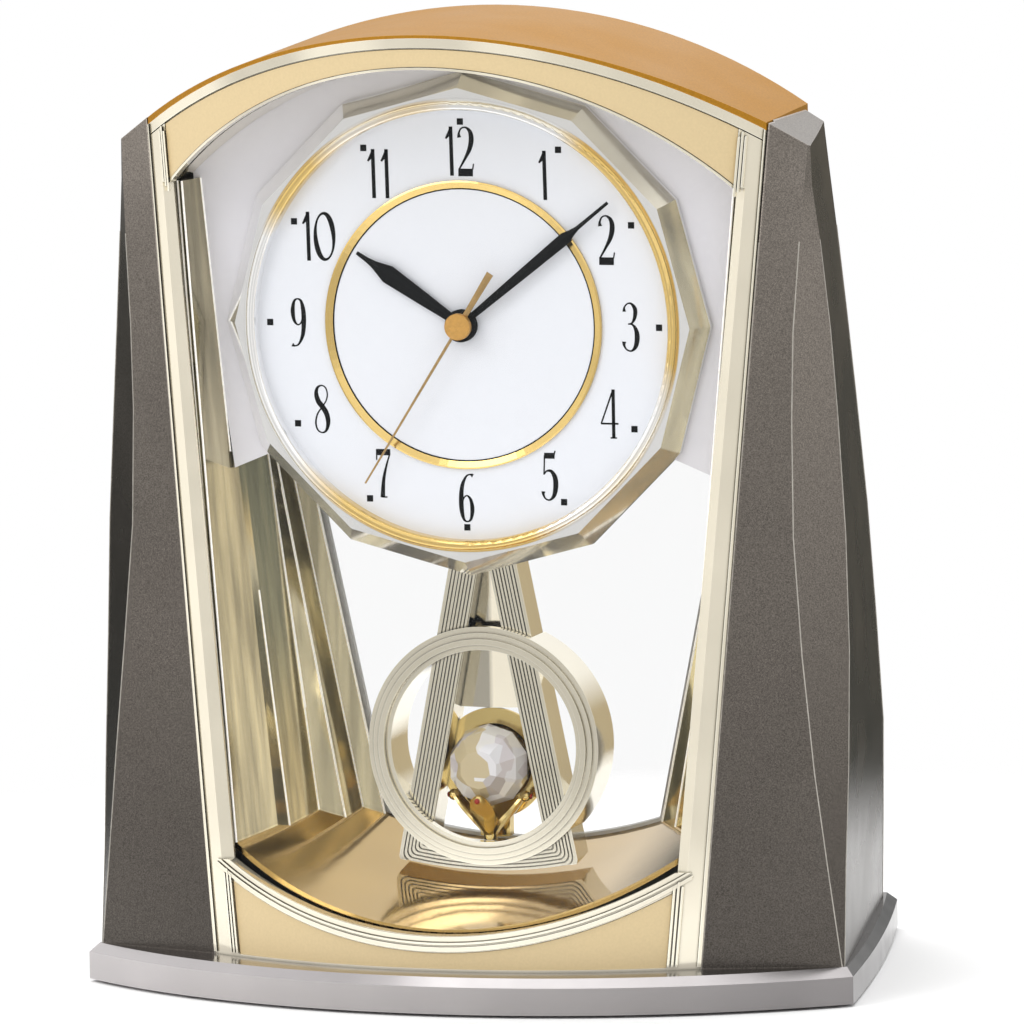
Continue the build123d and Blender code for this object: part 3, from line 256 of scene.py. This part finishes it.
def crystal_finish():
    """Cut glass with painted reflections: each facet is painted in one shade of the light it throws."""
    finish = Finish("cut_crystal", CRYSTAL, roughness=0.02)
    finish.set("Transmission Weight", 0.3)
    finish.set("IOR", 1.54)
    cells = finish.node("ShaderNodeTexVoronoi")
    cells.inputs["Scale"].default_value = CRYSTAL_CELLS / MM
    finish.link(finish.place, cells.inputs["Vector"])
    painted_facet_light = finish.node("ShaderNodeValToRGB")
    painted_facet_light.color_ramp.interpolation = "CONSTANT"
    stops = painted_facet_light.color_ramp.elements
    while len(stops) < len(CRYSTAL_PAINTED_LIGHT):
        stops.new(0.5)
    for k, (stop, rgb) in enumerate(zip(stops, CRYSTAL_PAINTED_LIGHT)):
        stop.position = k / len(CRYSTAL_PAINTED_LIGHT)
        stop.color = shade(rgb, 1.0)
    finish.link(cells.outputs["Color"], painted_facet_light.inputs["Fac"])
    finish.link(painted_facet_light.outputs["Color"], finish.shader.inputs["Base Color"])
    return finish


def plated(name, rgb, roughness, metallic=1.0):
    """Polished plate, with painted shade in its grooves and painted highlights on its edges."""
    finish = Finish(name, rgb, metallic, roughness)
    return finish.mottle(0.05, 0.95, 1.03).uneven(0.1, 0.03).hollowed(0.8, 0.18).edged(0.25, 1.4)


def niche_finish():
    """Brushed mirror plate with soft light and dark streaks down the pleats, painted shade towards the top and in
    its grooves, and painted highlights on its edges.
    """
    finish = Finish("olive_gold_mirror", NICHE, 0.8, 0.1)
    finish.mottle(0.25, 0.55, 1.15, (1, 1, 0.06)).uneven(0.03, 0.03)
    # Painted shade: darker towards the top of the niche and in the grooves between the pleats; painted highlights
    # on the pleat edges.
    return finish.graded(1.12, 0.66, 80, 190).hollowed(1.5, 0.3).edged(0.5, 1.5)


def lavender_finish():
    """Satin plastic, almost even."""
    finish = Finish("lavender_panel", LAVENDER, 0.0, 0.3)
    return finish.mottle(0.8, 0.98, 1.01).uneven(0.03, 0.04)


def gunmetal_finish():
    """Metallic paint with a fine grain, with painted shade that darkens it towards the foot and painted highlights
    on its edges.
    """
    finish = Finish("gunmetal", GUNMETAL, 0.9, 0.28)
    finish.mottle(2.8, 0.66, 1.36).uneven(0.03, 0.04).relief(2.8, 0.002)
    # Painted shade darker towards the foot, and painted highlights along the edges.
    return finish.graded(0.47, 1.25, 10, 210).edged(0.5, 2.2).dull(0.15)


def bronze_finish():
    """Metallic paint with a fine grain and painted highlights on its edges."""
    finish = Finish("bronze", BRONZE, 0.35, 0.42)
    finish.mottle(2.0, 0.88, 1.1).uneven(0.03, 0.05).relief(2.2, 0.003)
    return finish.edged(0.4, 1.3).dull(0.2)


def pleat_line_finish():
    """Painted highlights down the creases, which glow with a little light of their own so that they show in the
    shade.
    """
    finish = Finish("painted_pleat_highlight", PALE, 0.3, 0.3)
    finish.mottle(0.3, 0.9, 1.1).uneven(0.2, 0.05)
    # Painted glow on the highlight lines.
    finish.set("Emission Color", shade(CHAMPAGNE, 1.0))
    finish.set("Emission Strength", 0.35)
    return finish


finishes = {
    # Painted light and shade on the silver plate: lighter on the left, darker towards the right.
    "satin_silver": plated("satin_silver", SILVER, 0.2).graded(1.2, 0.55, -80, 90, "X"),
    "gunmetal": gunmetal_finish(),
    "bronze": bronze_finish(),
    "champagne_plate": plated("champagne_plate", CHAMPAGNE, 0.09),
    "gold_plate": plated("gold_plate", GOLD, 0.12),
    "beige_panel": Finish("beige_panel", BEIGE, 0.0, 0.42).mottle(1.5, 0.97, 1.02).uneven(0.05, 0.04),
    "clear_plastic": clear_finish(),
    "olive_gold_mirror": niche_finish(),
    "lavender_panel": lavender_finish(),
    "dial_white": Finish("dial_white", DIAL, 0.0, 0.55).mottle(0.6, 0.985, 1.0).uneven(0.05, 0.03),
    "hand_black": Finish("hand_black", BLACK, 0.0, 0.4).mottle(1.0, 0.8, 1.2).uneven(0.1, 0.04).dull(0.12),
    "black_plastic": Finish("black_plastic", DARK, 0.0, 0.5).mottle(2.0, 0.8, 1.2).relief(2.5, 0.01),
    "dark_plastic": Finish("dark_plastic", DARK, 0.0, 0.45).mottle(2.0, 0.85, 1.2).relief(1.5, 0.015),
    "crystal_glass": crystal_finish(),
    "zinc_steel": Finish("zinc_steel", STEEL, 1.0, 0.3).mottle(1.0, 0.9, 1.05).uneven(0.2, 0.05),
    "brass_metal": Finish("brass_metal", BRASS, 1.0, 0.25).mottle(1.0, 0.9, 1.05).uneven(0.2, 0.05),
    "cell_jacket": Finish("cell_jacket", JACKET, 0.0, 0.3).mottle(0.3, 0.9, 1.1).uneven(0.1, 0.04),
    "foot_rubber": Finish("foot_rubber", DARK, 0.0, 0.8).mottle(2.0, 0.8, 1.1).relief(2.0, 0.02),
}
slot_of = {part["node"]: part["material_slot"] for part in frame["record"]["subparts"]}
LIP_RADIUS = 58.3 * MM
bezel_finish = plated("bezel_plate", PALE, 0.07, 0.85)
own_finishes = {
    "niche_floor": Finish("niche_floor", NICHE_FLOOR, 1.0, 0.08).mottle(0.02, 0.9, 1.05).uneven(0.03, 0.03),
    "front_frame": plated("frame_plate", CHAMPAGNE, 0.12, 0.72),
    "window_frame": Finish("window_plate", WINDOW, 0.0, 0.5).mottle(1.0, 0.96, 1.02).uneven(0.1, 0.05),
    # Painted shade on the ridge plate: darker on its left flank, lighter on its right.
    "pendulum_plate": plated("ridge_plate", CHAMPAGNE, 0.1).graded(0.42, 1.1, -0.6, 0.6, "X"),
    # Painted shade on the legs: darker towards the bottom.
    "pendulum_frame": plated("leg_plate", CHAMPAGNE, 0.1).graded(0.72, 1.0, 28, 62),
    "crystal_shell": plated("cup_plate", CUP, 0.14),
    "crystal_petals": plated("leaf_plate", CUP, 0.14),
    "dial_bezel": bezel_finish.banded(GOLD, PALE, LIP_RADIUS, joint_place["minute_turn"]),
}
for node_name, slot_name in slot_of.items():
    for place in nodes[node_name].material_slots:
        place.material = own_finishes.get(node_name, finishes[slot_name]).material


# Printed numerals and hands, drawn as bands on the dial; places and widths in millimetres


def circle(radius, count=40):
    """Places round a circle, clockwise from its top."""
    steps = [2 * math.pi * k / count for k in range(count)]
    return [(radius * math.sin(step), radius * math.cos(step)) for step in steps]


def smooth(stroke, closed=False, steps=7):
    """A curve through the points of a stroke; each is across, up and width."""
    if len(stroke) == 2:
        return [Vector(point) for point in stroke]
    points = [Vector(point) for point in stroke]
    count = len(points)
    spans = count if closed else count - 1
    out = []
    for i in range(spans):
        if closed:
            before, start, end, after = (points[(i + k) % count] for k in (-1, 0, 1, 2))
        else:
            before, start, end, after = (points[min(max(i + k, 0), count - 1)] for k in (-1, 0, 1, 2))
        for step in range(steps):
            t = step / steps
            bend = (end - before) * t + (2 * before - 5 * start + 4 * end - after) * t * t
            bend += (3 * start - before - 3 * end + after) * t**3
            out.append(start + bend / 2)
    if not closed:
        out.append(points[-1])
    return out


class Plate:
    """Bands, rods and turned rings of metal or print, gathered into one piece."""

    def __init__(self, centre):
        self.centre = centre
        self.points = []
        self.faces = []

    def point(self, across, up, forward):
        """A corner, in millimetres from the centre."""
        self.points.append(self.centre + Vector((across, -forward, up)) * MM)

    def band(self, line, turn=0.0, thick=0.1, crown=0.0, closed=False):
        """A closed solid along a line, ridged by its crown, and turned clockwise about the centre."""
        first = len(self.points)
        count = len(line)
        sine, cosine = math.sin(turn), math.cos(turn)
        for i, here in enumerate(line):
            ahead = line[(i + 1) % count] if closed else line[min(i + 1, count - 1)]
            behind = line[i - 1] if closed else line[max(i - 1, 0)]
            along = Vector((ahead.x - behind.x, ahead.y - behind.y)).normalized()
            for side, forward in ((0.5, 0), (0.5, thick), (0, thick + crown), (-0.5, thick), (-0.5, 0)):
                across = here.x - along.y * here.z * side
                up = here.y + along.x * here.z * side
                self.point(across * cosine + up * sine, up * cosine - across * sine, forward)
        for i in range(count if closed else count - 1):
            start, end = first + 5 * i, first + 5 * ((i + 1) % count)
            for k in range(5):
                self.faces.append((start + k, start + (k + 1) % 5, end + (k + 1) % 5, end + k))
        if not closed:
            last = first + 5 * (count - 1)
            self.faces.append(tuple(first + 4 - k for k in range(5)))
            self.faces.append(tuple(last + k for k in range(5)))

    def rod(self, start, end, radius, sides=6):
        """A thin rod between two places in metres; its radius is in millimetres."""
        along = (end - start).normalized()
        across = along.orthogonal().normalized()
        first = len(self.points)
        for place in (start, end):
            for k in range(sides):
                turn = Matrix.Rotation(2 * math.pi * k / sides, 3, along)
                self.points.append(place + turn @ across * radius * MM)
        for k in range(sides):
            after = (k + 1) % sides
            self.faces.append((first + k, first + after, first + sides + after, first + sides + k))
        self.faces.append(tuple(first + sides - 1 - k for k in range(sides)))
        self.faces.append(tuple(first + sides + k for k in range(sides)))

    def turned(self, profile, count=96):
        """A ring or a cap turned about the axis through the centre; the profile is radius and forward."""
        first, size = len(self.points), len(profile)
        for across, up in circle(1, count):
            for radius, forward in profile:
                self.point(across * radius, up * radius, forward)
        for i in range(count):
            start, end = first + size * i, first + size * ((i + 1) % count)
            for k in range(size):
                after = (k + 1) % size
                self.faces.append((start + k, start + after, end + after, end + k))

    def piece(self, name, slot_name, body, finish=None):
        mesh = bpy.data.meshes.new(name)
        mesh.from_pydata(self.points, [], self.faces)
        shape = bmesh.new()
        shape.from_mesh(mesh)
        bmesh.ops.recalc_face_normals(shape, faces=shape.faces)
        shape.to_mesh(mesh)
        shape.free()
        mesh.materials.append((finish or finishes[slot_name]).material)
        item = bpy.data.objects.new(name, mesh)
        bpy.context.collection.objects.link(item)
        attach(item, body)
        return item


def oval(width, height, thin, thick, lean):
    """The ring of a nought, thickest at its leaning ends."""
    ring = []
    count = 32
    for i in range(count):
        angle = 2 * math.pi * i / count
        line = (thin + thick) / 2 + (thick - thin) / 2 * math.cos(2 * angle - 2 * math.radians(lean))
        across = (width - line) / 2 * math.cos(angle)
        up = (height - line) / 2 * math.sin(angle)
        ring.append(Vector((across, up, line)))
    return ring


SIX = [
    (1.75, 5.75, 0.9), (1.0, 6.05, 0.35), (-0.1, 5.5, 0.45), (-1.15, 3.2, 0.85), (-1.5, 0, 1.05),
    (-1.4, -3.2, 1.0), (-0.85, -5.5, 0.6), (0.1, -6.1, 0.32), (1.05, -5.4, 0.6), (1.45, -3, 0.95),
    (1.1, -0.6, 0.7), (0.2, 0.55, 0.35), (-0.7, 0.1, 0.32), (-1.3, -1.6, 0.3),
]
GLYPHS = {
    "1": [[(0, 6.3, 0.85), (0.2, -6.3, 0.85)], [(0.1, 6.1, 0.55), (-0.55, 4.4, 0.75), (-1.35, 3.2, 0.4)]],
    "2": [
        [
            (-1.65, 3.5, 0.95), (-1.75, 4.5, 0.5), (-1.15, 5.8, 0.35), (0.1, 6.1, 0.4), (1.25, 5, 0.9),
            (1.55, 3, 1.15), (1.05, 0.6, 1.0), (-0.2, -1.9, 0.6), (-1.9, -4.8, 0.35),
        ],
        [(-2.05, -5.45, 1.7), (1.85, -5.45, 1.7)],
        [(1.8, -4.7, 0.3), (2.05, -3.2, 0.3)],
    ],
    "3": [
        [
            (-1.6, 4, 0.8), (-1.55, 5.1, 0.4), (-0.7, 6.05, 0.32), (0.35, 6, 0.5), (1.3, 4.6, 0.95),
            (1.15, 2.5, 0.8), (0.4, 1.1, 0.4), (-0.6, 0.85, 0.3),
        ],
        [
            (-0.6, 0.85, 0.3), (0.5, 0.7, 0.4), (1.4, -0.5, 0.85), (1.75, -2.5, 1.15), (1.35, -4.8, 0.95),
            (0.2, -6.05, 0.42), (-1.1, -5.7, 0.35), (-1.75, -4.6, 0.55), (-1.75, -3.7, 0.95),
        ],
    ],
    "4": [
        [(1.05, 6.3, 0.75), (1.05, -6.2, 0.75)],
        [(0.95, 6.1, 0.35), (-2.2, -2.4, 0.35)],
        [(-2.35, -2.5, 0.4), (2.35, -2.5, 0.4)],
        [(0.2, -6.15, 0.3), (1.9, -6.15, 0.3)],
    ],
    "5": [
        [(-1.35, 5.3, 1.3), (1.45, 5.3, 1.3)],
        [(1.35, 5.6, 0.3), (1.6, 6.6, 0.3)],
        [(-1.25, 5.4, 0.32), (-1.45, 0.4, 0.32)],
        [
            (-1.45, 0.5, 0.32), (-0.7, 1.35, 0.4), (0.5, 1.3, 0.7), (1.45, -0.2, 1.05), (1.65, -2.4, 1.15),
            (1.2, -4.8, 0.9), (0.1, -6.05, 0.42), (-1.1, -5.8, 0.35), (-1.7, -4.7, 0.55), (-1.7, -3.9, 0.9),
        ],
    ],
    "6": [SIX],
    "7": [
        [(-1.85, 5.45, 1.4), (1.9, 5.45, 1.4)],
        [(-1.8, 6.15, 0.3), (-1.8, 3.4, 0.3)],
        [(1.75, 5, 0.32), (0.8, 2, 0.45), (0, -1.6, 0.75), (-0.35, -6.25, 1.05)],
        [(-0.5, -6.15, 0.3), (0.9, -6.15, 0.3)],
    ],
    "9": [[(-x, -z, w) for x, z, w in SIX]],
}
EIGHT = [
    (0, 6.1, 0.32), (-1.15, 5.5, 0.6), (-1.5, 3.9, 0.95), (-0.95, 2, 1.15), (0.2, 0.5, 1.2),
    (1.2, -1.2, 1.15), (1.6, -3.4, 1.0), (1.1, -5.4, 0.6), (0, -6.1, 0.32), (-1.25, -5.4, 0.35),
    (-1.75, -3.5, 0.4), (-1.25, -1.3, 0.35), (-0.1, 0.4, 0.3), (1.1, 2.1, 0.3), (1.5, 3.9, 0.3),
    (1.05, 5.5, 0.32),
]
# Where the two digits of a numeral stand, across from its middle
PAIRS = {"10": (-2.9, 1.6), "11": (-1.3, 2.3), "12": (-2.55, 1.4)}

dial_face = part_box("dial")[0].y
shaft = joint_place["minute_turn"]
dial_middle = Vector((shaft.x, dial_face, shaft.z))
NUMERAL_RADIUS = 44.6
DOT_RADIUS = 52.2
DOT_SIDE = 1.65
PRINT_DEPTH = 0.06
PRINT_WEIGHT = 1.15
NOUGHT = {"width": 5.8, "height": 12.6, "thin": 0.42, "thick": 1.15, "lean": 38}


def digit(print_plate, sign, across, up):
    """One digit of the printed ring, standing upright."""
    if sign == "0":
        strokes = [(oval(**NOUGHT), True)]
    elif sign == "8":
        strokes = [(smooth(EIGHT, closed=True), True)]
    else:
        strokes = [(smooth(stroke), False) for stroke in GLYPHS[sign]]
    for line, closed in strokes:
        moved = [Vector((point.x + across, point.y + up, point.z * PRINT_WEIGHT)) for point in line]
        print_plate.band(moved, thick=PRINT_DEPTH, closed=closed)


def numerals():
    """Twelve numerals, each with a square dot outside it."""
    numbers, dots = Plate(dial_middle), Plate(dial_middle)
    for hour in range(1, 13):
        angle = math.radians(30 * hour)
        across, up = NUMERAL_RADIUS * math.sin(angle), NUMERAL_RADIUS * math.cos(angle)
        text = str(hour)
        for sign, step in zip(text, PAIRS.get(text, (0,))):
            digit(numbers, sign, across + step, up)
        across, up = DOT_RADIUS * math.sin(angle), DOT_RADIUS * math.cos(angle)
        square = [Vector((across, up + DOT_SIDE * k, DOT_SIDE)) for k in (-0.5, 0.5)]
        dots.band(square, thick=PRINT_DEPTH)
    numbers.piece("dial_numerals", "hand_black", "clock_case")
    dots.piece("dial_dots", "hand_black", "clock_case")


HUB_MIDDLE = 3.2
HUB_WIDTH = 2.0


def hand(name, node_name, angle, widths):
    """A tapered hand with a raised middle line, on its round hub."""
    low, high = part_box(node_name)
    thick = (high.y - low.y) / MM
    blade = Plate(Vector((shaft.x, high.y, shaft.z)))
    line = [Vector((0, radius, width)) for radius, width in widths]
    blade.band(line, math.radians(angle), thick * 0.6, thick * 0.4)
    hub = [Vector((x, z, HUB_WIDTH)) for x, z in circle(HUB_MIDDLE)]
    blade.band(hub, thick=thick * 0.6, crown=thick * 0.3, closed=True)
    item = blade.piece(name, "hand_black", node_name)
    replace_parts(item, node_name)


# Where the hands point, in degrees clockwise from the top
HOUR_ANGLE, MINUTE_ANGLE, SECOND_ANGLE = 303.3, 51.2, 212.4
# Hands as pairs of radius and width
HOUR_HAND = [(2.6, 2.2), (12, 3.5), (23.6, 4.8), (26, 3.2), (28.2, 1.9), (30.2, 1.3), (33.4, 0.9)]
MINUTE_HAND = [(2.6, 1.6), (20, 2.5), (36.5, 3.2), (38.6, 1.9), (40.6, 1.1), (44, 0.95), (51.2, 0.8)]
NEEDLE_LINE = [(-16.2, 1.9), (-3, 1.3), (3, 0.75), (48.3, 0.45)]


def second_hand():
    """A thin needle with a wider tail, under a flat cap."""
    low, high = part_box("second_hand")
    needle, cap = (Plate(Vector((shaft.x, high.y, shaft.z))) for _ in range(2))
    line = [Vector((0, radius, width)) for radius, width in NEEDLE_LINE]
    needle.band(line, math.radians(SECOND_ANGLE), thick=0.3, crown=0.12)
    top = (high.y - low.y) / MM
    cap_radius, cap_bevel = 3.4, 0.3
    rim = [(cap_radius, 0), (cap_radius, top - cap_bevel), (cap_radius - cap_bevel, top)]
    cap.turned([(0.6, 0), *rim, (0.02, top)])
    steel = Finish("needle_gold", NEEDLE, 0.7, 0.35).mottle(0.6, 0.85, 1.1).uneven(0.2, 0.05)
    brass = Finish("cap_gold", CAP, 0.6, 0.4).mottle(1.5, 0.92, 1.08).uneven(0.2, 0.05)
    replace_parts(needle.piece("second_needle", "gold_plate", "second_hand", steel), "second_hand")
    cap.piece("second_cap", "gold_plate", "second_hand", brass)


def inner_ring():
    """The raised gold ring on the dial, sloping down to a thin dark line at its inner edge."""
    ring, line = Plate(dial_middle), Plate(dial_middle)
    ring.turned([(37.1, 0), (37.1, 0.8), (36.7, 0.95), (35.2, 0.2), (35.1, 0)])
    line.turned([(35.15, 0), (35.15, 0.12), (34.85, 0.12), (34.85, 0)])
    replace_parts(ring.piece("inner_ring", "gold_plate", "clock_case"), "dial_ring")
    line.piece("inner_ring_line", "hand_black", "clock_case")


SHORTEST_CREASE = 15 * MM
# The least rise of a crease, as a share of its length
STEEP_SHARE = 0.8


def crease_lines(node_name, radius, sharp, finish):
    """Painted highlights: thin rods down the long, steep creases of a part, where it bends by more than sharp, in
    radians.
    """
    shape = bmesh.new()
    shape.from_mesh(nodes[node_name].data)
    bmesh.ops.remove_doubles(shape, verts=shape.verts, dist=0.01 * MM)
    lines = Plate(Vector())
    for edge in shape.edges:
        start, end = (corner.co for corner in edge.verts)
        rise = abs(start.z - end.z)
        steep = rise > max(SHORTEST_CREASE, STEEP_SHARE * edge.calc_length())
        if steep and len(edge.link_faces) == 2 and edge.calc_face_angle() > sharp:
            # A pale rod as a painted highlight along this crease.
            lines.rod(start, end, radius)
    shape.free()
    lines.piece(f"{node_name}_lines", slot_of[node_name], "clock_case", finish)


LEAF_AXIS = Vector((0, -22, 0)) * MM
FRONT_BEAD = Vector((0, -33.1, 48.45)) * MM
LEAF_ANGLES = (-90, 0, 90)
HEART_PROFILE = [(0.75, 0), (0.75, 0.1), (0.6, 0.3), (0.3, 0.42), (0.02, 0.45)]


def bead_hearts():
    """A small red dome on the bead of each leaf."""
    bead_red = Finish("bead_red", BEAD, 0.3, 0.2).mottle(2.0, 0.8, 1.3).uneven(0.5, 0.05)
    for number, angle in enumerate(LEAF_ANGLES):
        heart = Plate(FRONT_BEAD)
        heart.turned(HEART_PROFILE, 20)
        turn = Matrix.Rotation(math.radians(angle), 3, "Z")
        heart.points = [LEAF_AXIS + turn @ (point - LEAF_AXIS) for point in heart.points]
        heart.piece(f"bead_heart_{number + 1}", "gold_plate", "pendulum", bead_red)


numerals()
hand("hour_blade", "hour_hand", HOUR_ANGLE, HOUR_HAND)
hand("minute_blade", "minute_hand", MINUTE_ANGLE, MINUTE_HAND)
second_hand()
inner_ring()
bead_hearts()
painted_pleat_highlight = pleat_line_finish()
# Painted highlight lines down the creases of the niche walls and side panels; the pleat highlights also glow.
painted_panel_highlight = Finish("painted_panel_highlight", PANEL_HIGHLIGHT, 0.5, 0.4).mottle(0.5, 0.8, 1.1).uneven(0.2, 0.05)
for side in ("left", "right"):
    crease_lines(f"niche_wall_{side}", radius=0.3, sharp=0.2, finish=painted_pleat_highlight)
    crease_lines(f"side_panel_{side}", radius=0.16, sharp=0.15, finish=painted_panel_highlight)


# Stage, light and camera

# The photograph's viewpoint: degrees round to the right, up and of tilt, and distances in metres
CAMERA_TURN, CAMERA_RISE, CAMERA_ROLL = 17.504, 6.937, 1.033
CAMERA_DISTANCE = 2.88316
CAMERA_TARGET = Vector((-0.085, 1.55, 119.37)) * MM
# The focal length and the picture's width, in pixels of the photograph
FOCAL_PIXELS, PICTURE_PIXELS = 11100, 1024
SENSOR_WIDTH = 36


def camera():
    """A camera at the photograph's viewpoint."""
    turn, rise, roll = (math.radians(angle) for angle in (CAMERA_TURN, CAMERA_RISE, CAMERA_ROLL))
    back = Vector((math.sin(turn) * math.cos(rise), -math.cos(turn) * math.cos(rise), math.sin(rise)))
    right = Vector((math.cos(turn), math.sin(turn), 0))
    up = back.cross(right)
    picture_right = right * math.cos(roll) - up * math.sin(roll)
    picture_up = up * math.cos(roll) + right * math.sin(roll)
    aim = Matrix((picture_right, picture_up, back)).transposed().to_4x4()
    data = bpy.data.cameras.new("camera")
    data.sensor_width = SENSOR_WIDTH
    data.lens = FOCAL_PIXELS / PICTURE_PIXELS * SENSOR_WIDTH
    data.clip_start = 0.1
    data.clip_end = 30
    view = bpy.data.objects.new("camera", data)
    bpy.context.collection.objects.link(view)
    view.matrix_world = Matrix.Translation(CAMERA_TARGET + back * CAMERA_DISTANCE) @ aim
    bpy.context.scene.camera = view


def area_light(name, place, aim, size, power, colour=(1, 1, 1)):
    """A soft rectangular light; its place and size are in metres."""
    data = bpy.data.lights.new(name, "AREA")
    data.shape = "RECTANGLE"
    data.size, data.size_y = size
    data.energy = power
    data.color = colour
    lamp = bpy.data.objects.new(name, data)
    bpy.context.collection.objects.link(lamp)
    lamp.location = place
    lamp.rotation_euler = (Vector(aim) - Vector(place)).to_track_quat("-Z", "Y").to_euler()


FLOOR_RADIUS = 0.36
# How far out the floor starts to fade, as a share of its radius
FLOOR_FADE_SHARE = 0.6


def floor():
    """A plain pale disc to stand on, which fades out to the white behind it."""
    rim = circle(FLOOR_RADIUS, 96)
    mesh = bpy.data.meshes.new("floor")
    mesh.from_pydata([(x, y, 0) for x, y in rim], [], [tuple(reversed(range(len(rim))))])
    plane = bpy.data.objects.new("floor", mesh)
    bpy.context.collection.objects.link(plane)
    finish = Finish("floor", FLOOR, 0.0, 0.9).mottle(0.002, 0.99, 1.0)
    distance = finish.vector_math("LENGTH", finish.place)
    fade = finish.spread(distance, 1, 0, FLOOR_FADE_SHARE * FLOOR_RADIUS, FLOOR_RADIUS)
    finish.link(fade, finish.shader.inputs["Alpha"])
    mesh.materials.append(finish.material)


# What polished surfaces see round them: turn from the front, clockwise seen from above, as a
# share of half a turn, with the brightness and tone there
PLAIN, WARM, GREEN = (1.0, 0.985, 0.96), (1.0, 0.84, 0.56), (0.92, 1.0, 0.92)
AROUND = [
    (-1.0, 0.06, GREEN), (-0.86, 0.08, GREEN), (-0.84, 0.5, PLAIN), (-0.8, 0.5, PLAIN),
    (-0.78, 0.06, GREEN), (-0.56, 0.05, GREEN), (-0.5, 1.15, PLAIN), (-0.4, 1.15, PLAIN),
    (-0.37, 0.7, PLAIN), (-0.27, 0.66, PLAIN), (-0.24, 1.1, PLAIN), (-0.17, 1.05, PLAIN),
    (-0.14, 0.7, PLAIN), (-0.05, 0.66, PLAIN), (-0.02, 1.0, PLAIN), (0.03, 0.95, PLAIN),
    (0.06, 0.75, PLAIN), (0.2, 0.72, PLAIN), (0.34, 0.75, PLAIN), (0.37, 1.05, PLAIN),
    (0.6, 1.0, PLAIN), (0.64, 0.12, GREEN), (0.72, 0.12, GREEN), (0.75, 0.9, PLAIN),
    (0.79, 0.85, WARM), (0.82, 0.25, GREEN), (0.86, 0.3, GREEN), (0.885, 0.6, WARM),
    (0.93, 0.5, WARM), (0.95, 0.07, GREEN), (1.0, 0.06, GREEN),
]
# What plain surfaces are lit by, the same way round
SOFT = [
    (-1.0, 0.7, PLAIN), (-0.5, 1.15, PLAIN), (0.0, 1.1, PLAIN), (0.25, 0.95, PLAIN),
    (0.5, 0.55, PLAIN), (0.8, 0.5, PLAIN), (1.0, 0.7, PLAIN),
]
# The brightness overhead, and the rise of the view between which it takes over, as a sine
OVERHEAD = 1.15
OVERHEAD_START, OVERHEAD_FULL = 0.06, 0.24


def math_node(tree, operation, *values):
    """A sum in the world's nodes, of numbers and of other nodes' outputs."""
    item = tree.nodes.new("ShaderNodeMath")
    item.operation = operation
    for socket, value in zip(item.inputs, values):
        if isinstance(value, (int, float)):
            socket.default_value = value
        else:
            tree.links.new(value, socket)
    return item.outputs["Value"]


def light_round(tree, way, fields):
    """Light whose brightness changes with the turn, and is even overhead."""
    turn = math_node(tree, "ARCTAN2", way["X"], math_node(tree, "MULTIPLY", way["Y"], -1.0))
    share = math_node(tree, "MULTIPLY_ADD", turn, 0.5 / math.pi, 0.5)
    ramp = tree.nodes.new("ShaderNodeValToRGB")
    stops = ramp.color_ramp.elements
    while len(stops) < len(fields):
        stops.new(0.5)
    for stop, (place, bright, tone) in zip(stops, fields):
        stop.position = place / 2 + 0.5
        stop.color = (*(bright * part for part in tone), 1)
    tree.links.new(share, ramp.inputs["Fac"])
    height = tree.nodes.new("ShaderNodeMapRange")
    height.inputs["From Min"].default_value = OVERHEAD_START
    height.inputs["From Max"].default_value = OVERHEAD_FULL
    tree.links.new(way["Z"], height.inputs["Value"])
    mixed = tree.nodes.new("ShaderNodeMix")
    mixed.data_type = "RGBA"
    mixed.inputs["B"].default_value = (OVERHEAD, OVERHEAD, OVERHEAD, 1)
    tree.links.new(height.outputs["Result"], mixed.inputs["Factor"])
    tree.links.new(ramp.outputs["Color"], mixed.inputs["A"])
    return background(tree, mixed.outputs["Result"])


def background(tree, colour=None):
    """Light of a colour, or of white where none is given."""
    item = tree.nodes.new("ShaderNodeBackground")
    if colour:
        tree.links.new(colour, item.inputs["Color"])
    else:
        item.inputs["Color"].default_value = (1, 1, 1, 1)
    return item.outputs["Background"]


def either(tree, choice, unless, when):
    """One light or another, by what kind of ray meets it."""
    item = tree.nodes.new("ShaderNodeMixShader")
    for socket, source in zip(item.inputs, (choice, unless, when)):
        tree.links.new(source, socket)
    return item.outputs["Shader"]


def surroundings():
    """White to the eye, soft light to plain surfaces; bright and dark fields in reflections."""
    world = bpy.data.worlds.new("studio")
    world.use_nodes = True
    bpy.context.scene.world = world
    tree = world.node_tree
    tree.nodes.clear()
    split = tree.nodes.new("ShaderNodeSeparateXYZ")
    tree.links.new(tree.nodes.new("ShaderNodeTexCoord").outputs["Generated"], split.inputs["Vector"])
    mirrored = light_round(tree, split.outputs, AROUND)
    plain = light_round(tree, split.outputs, SOFT)
    path = tree.nodes.new("ShaderNodeLightPath").outputs
    soft = either(tree, path["Is Diffuse Ray"], mirrored, plain)
    whole = either(tree, path["Is Camera Ray"], soft, background(tree))
    output = tree.nodes.new("ShaderNodeOutputWorld")
    tree.links.new(whole, output.inputs["Surface"])


camera()
floor()
surroundings()
area_light(
    "key", place=(-0.9, -1.5, 1.3), aim=(0, 0, 0.12), size=(0.9, 0.9), power=6, colour=(1.0, 0.99, 0.98)
)
area_light("top", place=(0, 0.1, 1.6), aim=(0, 0, 0.1), size=(1.2, 1.2), power=8.4)
bpy.context.scene.view_settings.view_transform = "Standard"
